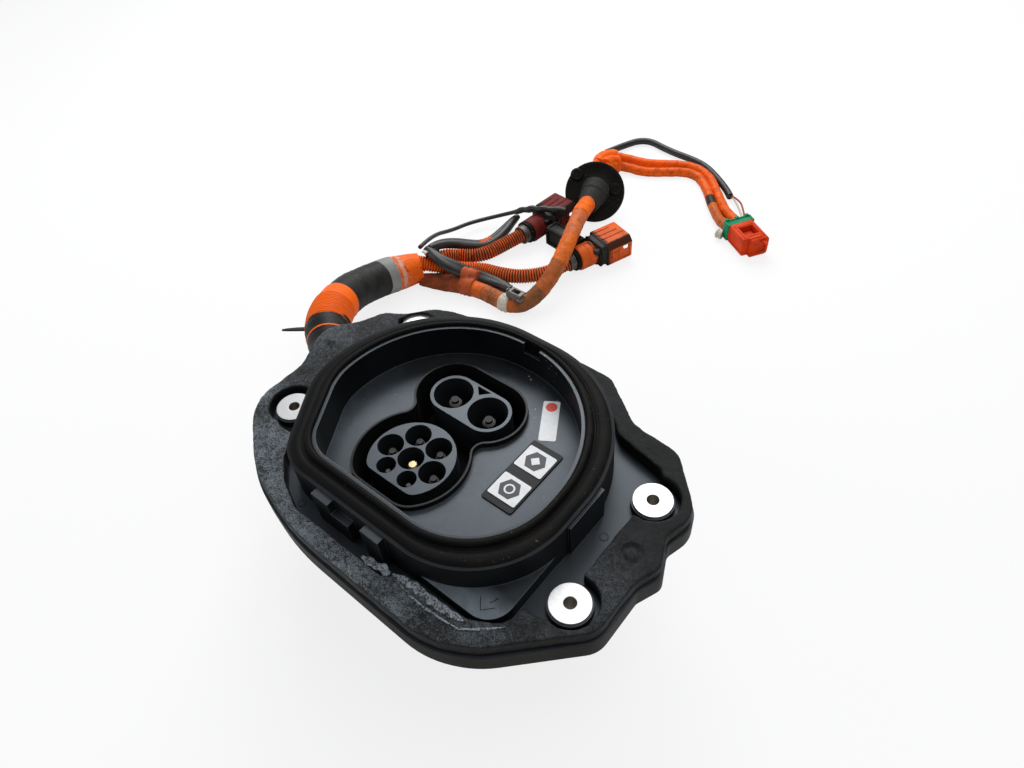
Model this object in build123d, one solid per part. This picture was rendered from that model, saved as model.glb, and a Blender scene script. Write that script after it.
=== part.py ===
from build123d import *
import math
import os

# Charging port of a vehicle with its wiring harness, lying on its rear cover.
# Millimetres, +Z out of the socket face, +Y from the earth contact toward the direct-current contacts,
# +X to the right. The origin is on the underside of the rear cover, straight below the earth contact.

# Heights: the joint of the rear cover above its underside, and the levels of the socket from there up
joint_height = 72.0
seal_thickness = 1.5
plate_rise = 17.0
plate_thickness = 3.0
skirt_drop = 9.0
foam_thickness = 9.0
face_rise = 8.0
island_rise = 2.0
bowl_floor_thickness = 3.0
well_depth = 34.0
well_base = 4.0
shoulder_rise = 17.5
rim_rise = 2.0

# Inner rim of the bowl and outer shoulder of the collar: corner x, y and fillet radius
rim_corners = [
    (-65.5, 94.0, 73.0),
    (88.0, 94.0, 76.0),
    (88.0, -36.0, 48.0),
    (-38.5, -36.0, 24.0),
    (-65.5, 9.0, 38.0),
]
rim_wall = 2.0
shoulder_corners = [
    (-80.5, 104.0, 84.0),
    (103.0, 104.0, 79.0),
    (103.0, -50.3, 57.0),
    (-45.5, -50.3, 30.0),
    (-80.5, 3.5, 50.0),
]
collar_wall = 2.5
channel_depth = 9.5

# Flange outline
flange_corners = [
    (-110.0, -27.0, 30.0),
    (-109.0, 12.0, 30.0),
    (-121.0, 36.0, 18.0),
    (-107.0, 58.0, 40.0),
    (-103.0, 74.0, 30.0),
    (-80.0, 102.0, 24.0),
    (-50.0, 107.0, 40.0),
    (-34.0, 115.5, 30.0),
    (56.0, 115.8, 16.0),
    (87.0, 93.5, 14.0),
    (118.0, 90.5, 13.0),
    (145.5, 61.0, 17.0),
    (139.8, 42.0, 7.0),
    (147.3, 25.0, 6.0),
    (141.5, 11.0, 6.0),
    (141.5, -20.5, 14.0),
    (101.0, -62.0, 58.0),
    (78.0, -73.0, 58.0),
    (-18.0, -72.0, 160.0),
    (-66.0, -60.5, 95.0),
]
skirt_overhang = 1.2
skirt_wall = 2.5

# Bays of the foam that leave the plate bare below and to the right of the collar
lower_bay_corners = [
    (-84.0, -10.0, 0.0),
    (-84.0, -29.5, 4.0),
    (-69.0, -28.0, 4.0),
    (-59.0, -43.0, 6.0),
    (-46.0, -53.0, 8.0),
    (-28.0, -60.5, 10.0),
    (38.9, -61.0, 6.0),
    (44.6, -56.4, 4.0),
    (58.0, -52.6, 8.0),
    (90.0, -51.5, 14.0),
    (104.0, -43.0, 10.0),
    (106.0, -31.0, 4.0),
    (60.0, 0.0, 0.0),
]
right_bay_corners = [
    (60.0, -31.0, 0.0),
    (119.0, -31.0, 6.0),
    (119.0, 74.0, 6.0),
    (60.0, 86.0, 0.0),
]
foam_clearance = 3.0

# Socket layout
earth_point = (0.0, 0.0)
ac_pitch = 16.29
ac_upper = (0.4966 * ac_pitch, 0.8821 * ac_pitch)
signal_point = (0.4982 * ac_pitch, -0.7133 * ac_pitch)
dc_point = (13.5, 50.685)
contact_web = 0.85
power_hole_radius = (ac_pitch - contact_web) / 2
signal_hole_radius = math.hypot(*signal_point) - power_hole_radius - contact_web
dc_web = 1.42
dc_hole_radius = dc_point[0] - dc_web
island_wall = 1.49
island_radius = ac_pitch + power_hole_radius + island_wall
island_flat = signal_point[1] - signal_hole_radius - island_wall
island_corner = 8.0
ac_gap = 7.5
ac_gap_bottom = 8.4
ac_well_radius = island_radius + ac_gap
ac_well_flat = island_flat - ac_gap_bottom
ac_centre_y = 0.5
dc_island_wall = 2.22
dc_island_radius = dc_hole_radius + dc_island_wall
dc_gap = 8.2
dc_well_radius = dc_island_radius + dc_gap
neck_fillet = 8.0
well_wall = 1.3
well_lip = 3.5
shell_flange_width = 2.5
shell_flange_thickness = 2.0
carrier_base = 4.0

# Contacts
pin_radius = 3.0
signal_pin_radius = 1.5
dc_pin_radius = 4.0
contact_flange = 2.0
contact_barrel = 1.0
barrel_length = 18.0
tip_depth = 5.5
cap_height = 2.0
cap_radius = 2.0
dc_cap_radius = 2.5
retainer_thickness = 3.0
retainer_inset = 1.0
contact_clearance = 0.1

# Mounting sleeves, each with the radius of its foam pocket
sleeve_points = [
    (121.9, 57.5, 14.3),
    (121.7, -15.4, 14.3),
    (-87.3, -13.5, 14.3),
    (-76.5, 84.2, 12.4),
]
sleeve_rise = 6.0
washer_radius = 10.6
washer_thickness = 1.5
sleeve_bore = 3.3
sleeve_radius = 5.5
boss_radius = 11.6

# Blocks around the collar: left, right, outer face and top
platform_corners = [
    (44.0, -30.0, 0.0),
    (44.0, -49.5, 2.0),
    (102.5, -49.5, 14.0),
    (102.5, 5.0, 2.0),
    (85.0, 5.0, 0.0),
]
lug_width = 12.8
lug_reach = 4.4
lug_drop = 1.5
lug_lefts = (-16.0, 21.4)
step_width = 13.0
pad_reach = 1.5
pad_span = (9.0, 38.0)
pad_drop = 2.5
notch_span = (8.0, 20.0)
notch_depth = 7.5

# Rubber seal in the channel of the collar
seal_gap = 0.2
seal_seat = 0.5
seal_bead_width = 4.2
seal_bead_rise = 3.5

# Labels on the floor of the bowl
label_centre = (57.5, 28.5)
label_size = (20.6, 46.6)
label_gap = 0.2
label_pocket = 1.5
label_proud = 0.8
label_corner = 1.5
tile_size = (18.5, 16.0)
tile_shift = 11.3
tile_thickness = 0.5
sticker_centre = (45.4, 68.4)
sticker_size = (29.8, 10.0)
sticker_turn = -58.7
sticker_thickness = 0.15
sticker_corner = 1.0

# Rear cover
rear_half_width = 62.0
rear_space = 7.0
rear_front = ac_well_flat - rear_space
rear_back = dc_point[1] + dc_well_radius + rear_space
rear_corner = 18.0
rear_wall = 2.5
cover_floor = 3.0
ear_radius = 6.0
ear_offset = 3.5
ear_height = 8.0
ear_along = 40.0
ear_side_right = 23.0
ear_side_left = 56.0
screw_radius = 2.0
screw_head_radius = 3.5
screw_head_height = 3.0
screw_bite = 7.0

# Cable outlet of the rear cover
outlet_drop = 22.0
outlet_height = joint_height - outlet_drop
outlet_turn = 153.43
outlet_start = (-60.0, 10.0)
outlet_length = 42.5
outlet_inset = 10.0
outlet_radius = 18.0
outlet_bore = 15.5
gland_length = 12.0
gland_radius = 18.8

# Lock of the charging plug: a motor, a threaded spindle and a bolt on one axis along +Y
lock_rise = 8.0
lock_half_width = 11.0
lock_length = 30.0
lock_wall = 1.5
lock_housing_height = 16.0
lock_cover_thickness = 1.5
motor_length = 12.0
motor_radius = 8.5
motor_bore_depth = 4.0
spindle_radius = 1.5
spindle_clearance = 0.3
bolt_radius = 3.0
bolt_clearance = 0.3
bolt_tip_recess = 1.0
bolt_length = 19.0
bolt_bore_depth = 10.5
bolt_end_gap = 0.5
guide_length = 4.0
guide_height = 7.0
guide_clearance = 0.3

# Harness diameters
trunk_diameter = 30.0
conduit_diameter = 13.0
feed_diameter = 14.0
lead_diameter = 4.0
lead_sleeve_diameter = 8.0
ac_cable_diameter = 7.5
signal_tube_diameter = 7.0

# High-voltage connectors: each starts at the end of its conduit
orange_connector = (-97.6, 280.0, 12.0)
orange_turn = 70.7
red_connector = (-157.0, 288.0, 12.0)
red_turn = 84.0
connector_height = 22.0
clamp_radius = 8.6
clamp_length = 3.0
ring_radius = 10.4
ring_length = 4.0
connector_barrel_radius = 11.0
connector_barrel_length = 19.0
collar_length = 6.0
collar_width = 27.0
box_length = 26.0
box_width = 29.0
box_window = (7.0, 4.5)
box_recess = 3.0
box_edge = 1.5
bracket_centre = (-121.5, 306.0)
bracket_turn = -9.0
bracket_size = (37.0, 15.0, 18.0)

# Bulkhead grommet, with its normal toward the side that the feed cable comes from
grommet_centre = (-132.3, 367.9, 22.5)
grommet_normal = (0.43, -0.65, 0.61)
grommet_radius = 27.5
grommet_thickness = 4.0
neck_direction = (0.30, -0.954, -0.01)
neck_length = 18.0
neck_radius = (12.0, 8.5)
neck_grip = 2.0
knob_points = ((-17.0, 16.0), (19.5, 2.0))
knob_radius = 6.5
knob_height = 2.5

# Small connector with its wire-side lock
plug_face = (2.0, 406.0)
plug_turn = -33.0
plug_size = (28.0, 24.0, 18.0)
plug_mouth = (16.0, 18.0, 12.0)
plug_window = (12.0, 13.0, 5.0)
plug_latch = (7.0, 6.0, 3.0)
lock_slab = (5.0, 27.0, 15.0)
white_plug_centre = (-13.5, 397.5)
white_plug_radius = 4.2
white_plug_length = 6.0

# Metal clip on the feed cable
clip_centre = (-103.4, 212.3)
clip_size = (15.0, 9.0, 7.5)
clip_wall = 1.0
clip_lift = 14.6

# Routes of the harness, from the socket outward
trunk_route = [
    (-92.0, 26.0, outlet_height),
    (-125.1, 42.5, outlet_height),
    (-157.0, 61.0, 48.5),
    (-186.0, 86.0, 44.0),
    (-204.5, 116.0, 34.0),
    (-213.5, 148.0, 22.5),
    (-212.5, 176.0, 16.0),
    (-201.0, 195.5, 15.0),
]
red_conduit_route = [
    (-210.2, 199.8, 8.0),
    (-200.0, 221.5, 11.0),
    (-190.5, 233.5, 8.0),
    (-179.5, 241.0, 7.0),
    (-171.5, 251.0, 7.0),
    (-167.3, 263.0, 8.0),
    (-162.5, 276.0, 9.5),
    (-157.0, 288.0, 12.0),
]
orange_conduit_route = [
    (-202.0, 195.0, 20.0),
    (-189.0, 202.5, 18.0),
    (-178.0, 211.0, 14.0),
    (-169.5, 221.0, 10.0),
    (-160.5, 231.5, 7.0),
    (-143.5, 235.0, 7.0),
    (-127.0, 241.5, 7.0),
    (-112.5, 253.5, 7.5),
    (-102.0, 267.0, 9.5),
    (-97.6, 280.0, 12.0),
]
feed_route = [
    (-195.5, 189.5, 7.5),
    (-177.0, 196.5, 7.5),
    (-158.0, 204.5, 7.5),
    (-139.0, 208.8, 7.5),
    (-121.0, 208.0, 7.5),
    (-105.0, 209.0, 7.5),
    (-95.5, 219.0, 9.5),
    (-91.5, 236.0, 16.5),
    (-92.5, 256.0, 25.0),
    (-99.0, 278.0, 30.0),
    (-107.5, 300.0, 31.0),
    (-116.5, 321.0, 29.0),
    (-122.5, 337.0, 25.8),
    (-126.3, 349.5, 23.7),
]
thin_lead_route = [
    (-205.0, 203.0, 30.5),
    (-215.2, 228.0, 24.0),
    (-217.5, 255.0, 12.0),
    (-216.5, 278.1, 7.0),
    (-204.5, 296.9, 7.0),
    (-186.9, 307.7, 13.0),
    (-169.0, 311.7, 22.0),
    (-149.6, 314.8, 27.0),
    (-134.6, 324.1, 26.0),
]
upper_sleeve_route = [
    (-204.5, 210.5, 23.5),
    (-205.5, 224.5, 20.0),
    (-200.5, 240.0, 14.0),
    (-189.0, 251.0, 9.0),
    (-181.5, 260.5, 6.0),
    (-179.3, 273.2, 6.0),
    (-181.4, 291.1, 6.0),
    (-183.3, 304.6, 7.0),
    (-182.0, 311.7, 9.0),
]
lower_sleeve_route = [
    (-198.0, 204.0, 31.5),
    (-188.0, 202.0, 30.0),
    (-176.5, 202.0, 27.0),
    (-167.0, 206.5, 22.0),
    (-159.0, 213.0, 15.5),
    (-150.0, 221.0, 8.5),
    (-138.0, 225.5, 5.5),
    (-127.0, 226.0, 5.5),
    (-116.0, 223.0, 7.0),
]
outer_ac_route = [
    (-137.0, 368.0, 21.5),
    (-148.0, 386.0, 21.0),
    (-159.0, 404.0, 18.0),
    (-168.0, 421.0, 14.5),
    (-173.5, 438.0, 11.0),
    (-169.5, 453.0, 6.5),
    (-155.0, 460.0, 4.0),
    (-134.0, 462.5, 3.8),
    (-116.0, 472.0, 3.8),
    (-99.0, 481.5, 3.8),
    (-82.0, 482.0, 3.8),
    (-66.0, 474.0, 3.8),
    (-50.4, 457.7, 3.8),
    (-34.0, 438.8, 5.0),
    (-17.1, 421.2, 8.0),
    (1.3, 413.6, 9.0),
]
inner_ac_route = [
    (-130.5, 372.0, 21.5),
    (-141.5, 390.5, 20.5),
    (-151.0, 408.0, 17.0),
    (-157.5, 423.0, 12.5),
    (-156.0, 436.0, 8.0),
    (-146.3, 445.4, 4.5),
    (-129.2, 447.4, 3.8),
    (-112.9, 456.5, 3.8),
    (-95.4, 469.4, 3.8),
    (-80.7, 471.6, 3.8),
    (-67.1, 463.3, 3.8),
    (-53.2, 448.2, 3.8),
    (-40.8, 433.3, 3.8),
    (-27.9, 419.2, 5.0),
    (-16.2, 407.9, 7.0),
    (-4.8, 404.2, 9.0),
]
signal_tube_route = [
    (-176.4, 453.0, 8.0),
    (-175.5, 468.0, 5.0),
    (-171.6, 483.6, 3.6),
    (-164.8, 497.4, 3.6),
    (-152.6, 502.8, 3.6),
    (-137.1, 498.9, 3.6),
    (-117.4, 495.9, 3.6),
    (-98.5, 495.0, 3.6),
    (-80.9, 491.2, 3.6),
    (-61.8, 479.4, 3.6),
    (-41.2, 463.7, 3.6),
    (-34.6, 456.5, 3.6),
]

# Levels that follow from the sizes above
plate_bottom = joint_height + plate_rise
plate_top = plate_bottom + plate_thickness
skirt_bottom = plate_bottom - skirt_drop
foam_top = plate_top + foam_thickness
face_height = plate_top + face_rise
bowl_floor_top = face_height - island_rise
bowl_floor_bottom = bowl_floor_top - bowl_floor_thickness
shoulder_height = face_height + shoulder_rise
rim_height = shoulder_height + rim_rise
channel_floor = shoulder_height - channel_depth
seal_base_height = shoulder_height + seal_seat
seal_bead_height = seal_base_height + seal_bead_rise
lug_height = shoulder_height - lug_drop
pad_height = shoulder_height - pad_drop
well_floor = face_height - well_depth
well_bottom = well_floor - well_base
well_rim = bowl_floor_top + well_lip
carrier_floor = well_floor + carrier_base
cover_top = joint_height - seal_thickness
lock_height = joint_height + lock_rise
lock_top = joint_height + lock_housing_height
sleeve_top = plate_top + sleeve_rise
boss_top = sleeve_top - washer_thickness
pin_top = face_height - tip_depth
barrel_bottom = well_bottom - barrel_length
bolt_tip = ac_well_flat - bolt_tip_recess
collar_foot = shoulder_corners[2][1]
collar_side = shoulder_corners[1][0]


def grown(corners, amount):
    """The outline with every side moved outward by amount and its arcs kept concentric."""
    count = len(corners)
    area = sum(
        corners[i - 1][0] * corners[i][1] - corners[i][0] * corners[i - 1][1] for i in range(count)
    )
    side = 1.0 if area > 0 else -1.0
    result = []
    for i, (x, y, radius) in enumerate(corners):
        before = Vector(x, y) - Vector(*corners[i - 1][:2])
        after = Vector(*corners[(i + 1) % count][:2]) - Vector(x, y)
        before = before.normalized()
        after = after.normalized()
        normal_before = Vector(before.Y, -before.X) * side
        normal_after = Vector(after.Y, -after.X) * side
        shift = (normal_before + normal_after) * (amount / (1.0 + normal_before.dot(normal_after)))
        outward = (before.X * after.Y - before.Y * after.X) * side > 0
        changed = radius + amount if outward else radius - amount
        result.append((x + shift.X, y + shift.Y, max(changed, 0.0) if radius else 0.0))
    return result


def outline(corners):
    """The face inside a closed outline of straight sides and fillets."""
    points = [(x, y) for x, y, radius in corners]
    radii = [radius for x, y, radius in corners]
    return make_face(FilletPolyline(*points, radius=radii, close=True))


def slab(face, bottom, top):
    """A flat face as a solid between two heights."""
    return Pos(0, 0, bottom) * extrude(face, amount=top - bottom, dir=(0, 0, 1))


def block(left, right, front, back, bottom, top):
    """A box given by its six sides."""
    size = (right - left, back - front, top - bottom)
    return Pos((left + right) / 2, (front + back) / 2, (bottom + top) / 2) * Box(*size)


def rod(x, y, radius, bottom, top):
    """An upright round bar."""
    return Pos(x, y, (bottom + top) / 2) * Cylinder(radius, top - bottom)


def rear_outline(inset=0.0):
    """Outline of the rear wall and cover, or the same line moved inward."""
    width = 2 * (rear_half_width - inset)
    depth = rear_back - rear_front - 2 * inset
    middle = (rear_front + rear_back) / 2
    return Pos(0, middle) * RectangleRounded(width, depth, rear_corner - inset)


def well_outline(grow=0.0):
    """Outline of the two joined wells: a flattened circle and an obround."""
    radius = ac_well_radius + grow
    lower = Pos(0, ac_centre_y) * Rot(0, 0, 90) * Circle(radius)
    trim = Pos(0, ac_well_flat - grow - radius) * Rectangle(4 * radius, 2 * radius)
    upper = Pos(0, dc_point[1]) * SlotCenterToCenter(2 * dc_point[0], 2 * (dc_well_radius + grow))
    face = (lower - trim) + upper
    corners = face.vertices().sort_by(Axis.Y)
    face = fillet(corners[0:2], island_corner + ac_well_radius - island_radius + grow)
    necks = face.vertices().sort_by(lambda v: abs(v.Y - (ac_centre_y + ac_well_radius - neck_fillet / 2)))
    return fillet(necks[0:2], neck_fillet - grow)


def ac_outline():
    """Outline of the island around the seven alternating-current and signal contacts."""
    circle = Pos(0, ac_centre_y) * Rot(0, 0, 90) * Circle(island_radius)
    trim = Pos(0, island_flat - island_radius) * Rectangle(4 * island_radius, 2 * island_radius)
    face = circle - trim
    return fillet(face.vertices().sort_by(Axis.Y)[0:2], island_corner)


def power_points():
    """Centres of the five alternating-current contacts, the earth first."""
    x, y = earth_point
    return [
        (x, y),
        (x - ac_pitch, y),
        (x + ac_pitch, y),
        (x - ac_upper[0], y + ac_upper[1]),
        (x + ac_upper[0], y + ac_upper[1]),
    ]


def signal_points():
    return [(-signal_point[0], signal_point[1]), (signal_point[0], signal_point[1])]


def dc_points():
    return [(-dc_point[0], dc_point[1]), (dc_point[0], dc_point[1])]


def ear_points():
    """Centres of the six screw ears around the joint of the rear cover."""
    front = rear_front - ear_offset
    back = rear_back + ear_offset
    side = rear_half_width + ear_offset
    return [
        (-ear_along, front),
        (ear_along, front),
        (side, ear_side_right),
        (ear_along, back),
        (-ear_along, back),
        (-side, ear_side_left),
    ]


def lock_hole(front, back):
    """Passage of the lock bolt between two places along Y."""
    drill = Cylinder(bolt_radius + bolt_clearance, back - front, rotation=(90, 0, 0))
    return Pos(0, (front + back) / 2, lock_height) * drill


def make_housing():
    """Flange, collar, bowl and rear wall, one moulding, with an opening for the socket shell."""
    rim_outside = grown(rim_corners, rim_wall / 2)
    rim_inside = grown(rim_corners, -rim_wall / 2)
    collar_inside = grown(shoulder_corners, -collar_wall)
    channel_underside = channel_floor - collar_wall
    body = slab(outline(grown(flange_corners, skirt_overhang)), skirt_bottom, plate_top)
    inner_skirt = outline(grown(flange_corners, skirt_overhang - skirt_wall))
    body -= slab(inner_skirt, skirt_bottom, plate_bottom)
    body += slab(outline(shoulder_corners), plate_bottom, shoulder_height)
    body += slab(outline(rim_outside), channel_floor, rim_height)
    body += slab(outline(platform_corners), plate_top, foam_top)
    for left in lug_lefts:
        reach = collar_foot - lug_reach
        body += block(left, left + lug_width, reach, collar_foot + collar_wall, plate_top, lug_height)
    step_left = lug_lefts[0] + lug_width
    step_front = collar_foot - lug_reach
    body += block(
        step_left, step_left + step_width, step_front, collar_foot + collar_wall, plate_top, channel_floor
    )
    pad_right = collar_side + pad_reach
    body += block(pad_right - 3 * collar_wall, pad_right, *pad_span, plate_top, pad_height)
    body -= slab(outline(collar_inside), plate_bottom, bowl_floor_bottom)
    under = slab(outline(collar_inside), bowl_floor_bottom, channel_underside)
    body -= under - slab(outline(rim_outside), bowl_floor_bottom, channel_underside)
    rear = slab(rear_outline(), joint_height, channel_floor)
    body += rear - slab(rear_outline(rear_wall), joint_height, channel_floor)
    channel = slab(outline(collar_inside), channel_floor, rim_height)
    body -= channel - slab(outline(rim_outside), channel_floor, rim_height)
    body -= slab(outline(rim_inside), bowl_floor_top, rim_height)
    for x, y in ear_points():
        ear = rod(x, y, ear_radius, joint_height, joint_height + ear_height)
        body += ear - slab(rear_outline(rear_wall), joint_height, joint_height + ear_height)
    for x, y in ear_points():
        body -= rod(x, y, screw_radius, joint_height, joint_height + screw_bite)
    body -= slab(well_outline(well_wall), bowl_floor_bottom, bowl_floor_top)
    for x, y, pocket in sleeve_points:
        body += rod(x, y, boss_radius, skirt_bottom, boss_top)
        body -= rod(x, y, sleeve_radius, skirt_bottom, boss_top)
    body -= lock_hole(rear_front, rear_front + rear_wall)
    rim_top_y = rim_corners[0][1]
    body -= block(
        *notch_span, rim_top_y - rim_wall, rim_top_y + rim_wall, rim_height - notch_depth, rim_height
    )
    width, depth = label_size
    pocket = Pos(*label_centre) * RectangleRounded(
        width + 2 * label_gap, depth + 2 * label_gap, label_corner + label_gap
    )
    return body - slab(pocket, bowl_floor_top - label_pocket, bowl_floor_top)


def make_socket_shell():
    """Deep cup of the two joined wells, seated under the floor of the bowl with its lip standing out."""
    flange_bottom = bowl_floor_bottom - shell_flange_thickness
    body = slab(well_outline(well_wall), well_bottom, well_rim)
    body += slab(well_outline(well_wall + shell_flange_width), flange_bottom, bowl_floor_bottom)
    body -= slab(well_outline(), well_floor, well_rim)
    for x, y in power_points():
        body -= rod(x, y, pin_radius + contact_flange + contact_clearance, well_bottom, well_floor)
    for x, y in signal_points():
        body -= rod(x, y, signal_pin_radius + contact_flange + contact_clearance, well_bottom, well_floor)
    for x, y in dc_points():
        body -= rod(x, y, dc_pin_radius + contact_flange + contact_clearance, well_bottom, well_floor)
    return body - lock_hole(ac_well_flat - 2 * well_wall, ac_well_flat + well_wall)


def make_ac_carrier():
    """Island with the wells of the seven alternating-current and signal contacts."""
    body = slab(ac_outline(), well_floor, face_height)
    for x, y in power_points():
        body -= rod(x, y, power_hole_radius, carrier_floor, face_height)
        body -= rod(x, y, pin_radius, well_floor, carrier_floor)
    for x, y in signal_points():
        body -= rod(x, y, signal_hole_radius, carrier_floor, face_height)
        body -= rod(x, y, signal_pin_radius, well_floor, carrier_floor)
    return body


def make_dc_carrier():
    """Obround island with the wells of the two direct-current contacts."""
    face = Pos(0, dc_point[1]) * SlotCenterToCenter(2 * dc_point[0], 2 * dc_island_radius)
    body = slab(face, well_floor, face_height)
    for x, y in dc_points():
        body -= rod(x, y, dc_hole_radius, carrier_floor, face_height)
        body -= rod(x, y, dc_pin_radius, well_floor, carrier_floor)
    web = dc_point[0] - dc_hole_radius
    top = dc_point[1] + dc_island_radius - web
    wide = dc_point[0] / 2 - web
    pocket = make_face(Polyline((-wide, top), (wide, top), (0, top - wide), close=True))
    return body - slab(pocket, carrier_floor, face_height)


def make_contact(x, y, radius, top):
    """A contact: round pin, flange in the base of the well, and crimp barrel behind it."""
    body = rod(x, y, radius, well_floor, top)
    body += rod(x, y, radius + contact_flange, well_bottom, well_floor)
    body += rod(x, y, radius + contact_barrel, barrel_bottom, well_bottom)
    edge = body.edges().filter_by(GeomType.CIRCLE).sort_by(Axis.Z)[-1]
    return chamfer(edge, radius / 4)


def make_caps(points, radius):
    """Insulating touch caps on the tips of the contacts."""
    caps = [rod(x, y, radius, pin_top - cap_height, pin_top) for x, y in points]
    return Compound(children=caps)


def make_retainer():
    """Plate behind the wells that holds the contacts in."""
    body = slab(well_outline(well_wall - retainer_inset), well_bottom - retainer_thickness, well_bottom)
    bottom = well_bottom - retainer_thickness
    spare = contact_barrel + contact_clearance
    for x, y in power_points():
        body -= rod(x, y, pin_radius + spare, bottom, well_bottom)
    for x, y in signal_points():
        body -= rod(x, y, signal_pin_radius + spare, bottom, well_bottom)
    for x, y in dc_points():
        body -= rod(x, y, dc_pin_radius + spare, bottom, well_bottom)
    return body


def make_rim_seal():
    """Rubber ring in the channel between the rim and the shoulder, with a raised inner bead."""
    inner = grown(rim_corners, rim_wall / 2 + seal_gap)
    outer = grown(shoulder_corners, -collar_wall - seal_gap)
    bead = grown(inner, seal_bead_width)
    body = slab(outline(outer), channel_floor, seal_base_height)
    body += slab(outline(bead), channel_floor, seal_bead_height)
    return body - slab(outline(inner), channel_floor, seal_bead_height)


def make_foam():
    """Foam gasket on the flange, open around the collar, the bays and the sleeves."""
    opening = slab(outline(grown(shoulder_corners, foam_clearance)), plate_top, foam_top)
    opening += slab(outline(lower_bay_corners), plate_top, foam_top)
    opening += slab(outline(right_bay_corners), plate_top, foam_top)
    for x, y, pocket in sleeve_points:
        opening += rod(x, y, pocket, plate_top, foam_top)
    return slab(outline(flange_corners), plate_top, foam_top) - opening


def make_sleeve(x, y):
    """Compression sleeve with a wide washer face."""
    body = rod(x, y, sleeve_radius, skirt_bottom, boss_top)
    body += rod(x, y, washer_radius, boss_top, sleeve_top)
    return body - rod(x, y, sleeve_bore, skirt_bottom, sleeve_top)


def make_label_pad():
    face = Pos(*label_centre) * RectangleRounded(*label_size, label_corner)
    return slab(face, bowl_floor_top - label_pocket, bowl_floor_top + label_proud)


def make_label_tiles():
    x, y = label_centre
    bottom = bowl_floor_top + label_proud
    tiles = []
    for shift in (-tile_shift, tile_shift):
        face = Pos(x, y + shift) * RectangleRounded(*tile_size, sticker_corner)
        tiles.append(slab(face, bottom, bottom + tile_thickness))
    return Compound(children=tiles)


def make_sticker():
    face = Pos(*sticker_centre) * Rot(0, 0, sticker_turn) * RectangleRounded(*sticker_size, sticker_corner)
    return slab(face, bowl_floor_top, bowl_floor_top + sticker_thickness)


def outlet_rod(radius, start, end):
    """Round bar along the axis of the cable outlet, between two distances from its start."""
    x, y = outlet_start
    axis = Location((x, y, outlet_height), (0, 0, outlet_turn))
    bar = Cylinder(radius, end - start, rotation=(0, 90, 0))
    return axis * Pos((start + end) / 2, 0, 0) * bar


def make_rear_cover():
    """Cup behind the wells, with the cable outlet on its left side."""
    body = slab(rear_outline(), 0, cover_top)
    body += outlet_rod(outlet_radius, -outlet_inset, outlet_length)
    body -= slab(rear_outline(rear_wall), cover_floor, cover_top)
    for x, y in ear_points():
        ear = rod(x, y, ear_radius, cover_top - ear_height, cover_top)
        body += ear - slab(rear_outline(rear_wall), cover_top - ear_height, cover_top)
    for x, y in ear_points():
        body -= rod(x, y, screw_radius, cover_top - ear_height, cover_top)
    return body - outlet_rod(outlet_bore, -outlet_inset, outlet_length)


def make_rear_seal():
    ring = slab(rear_outline(), cover_top, joint_height)
    return ring - slab(rear_outline(rear_wall), cover_top, joint_height)


def make_screws():
    """The six screws that hold the rear cover."""
    screws = []
    seat = cover_top - ear_height
    for x, y in ear_points():
        shank = rod(x, y, screw_radius, seat, joint_height + screw_bite)
        screws.append(shank + rod(x, y, screw_head_radius, seat - screw_head_height, seat))
    return Compound(children=screws)


def make_gland():
    """Rubber ring that grips the trunk of the harness at the end of the outlet."""
    end = outlet_length + gland_length
    return outlet_rod(gland_radius, outlet_length, end) - outlet_rod(trunk_diameter / 2, outlet_length, end)


def along_lock(radius, start, end):
    """Round bar on the axis of the lock."""
    bar = Cylinder(radius, end - start, rotation=(90, 0, 0))
    return Pos(0, (start + end) / 2, lock_height) * bar


def make_lock_housing():
    rear = rear_front - lock_length
    body = block(-lock_half_width, lock_half_width, rear, rear_front, joint_height, lock_top)
    inner = lock_half_width - lock_wall
    body -= block(
        -inner, inner, rear + lock_wall, rear_front - lock_wall, joint_height, lock_top - lock_wall
    )
    return body - lock_hole(rear_front - lock_wall, rear_front)


def make_lock_cover():
    rear = rear_front - lock_length
    bottom = joint_height - lock_cover_thickness
    return block(-lock_half_width, lock_half_width, rear, rear_front, bottom, joint_height)


def motor_span():
    rear = rear_front - lock_length + lock_wall
    return rear, rear + motor_length


def make_lock_motor():
    """Flat-sided motor can between the top and the cover of the lock housing."""
    rear, front = motor_span()
    can = along_lock(motor_radius, rear, front)
    can &= block(-motor_radius, motor_radius, rear, front, joint_height, lock_top - lock_wall)
    return can - along_lock(spindle_radius + spindle_clearance, front - motor_bore_depth, front)


def bolt_span():
    return bolt_tip - bolt_length, bolt_tip


def make_lock_spindle():
    """Threaded shaft from the motor into the bore of the bolt."""
    rear, front = motor_span()
    bolt_rear, tip = bolt_span()
    start = front - motor_bore_depth + bolt_end_gap
    return along_lock(spindle_radius, start, bolt_rear + bolt_bore_depth - bolt_end_gap)


def make_lock_bolt():
    """Bolt with a bored rear end and a guide plate that keeps it from turning."""
    rear, tip = bolt_span()
    body = along_lock(bolt_radius, rear, tip)
    guide = lock_half_width - lock_wall - guide_clearance
    half = guide_height / 2
    body += block(-guide, guide, rear, rear + guide_length, lock_height - half, lock_height + half)
    edge = body.edges().filter_by(GeomType.CIRCLE).sort_by(Axis.Y)[-1]
    body = chamfer(edge, bolt_radius / 4)
    return body - along_lock(spindle_radius + spindle_clearance, rear, rear + bolt_bore_depth)


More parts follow.
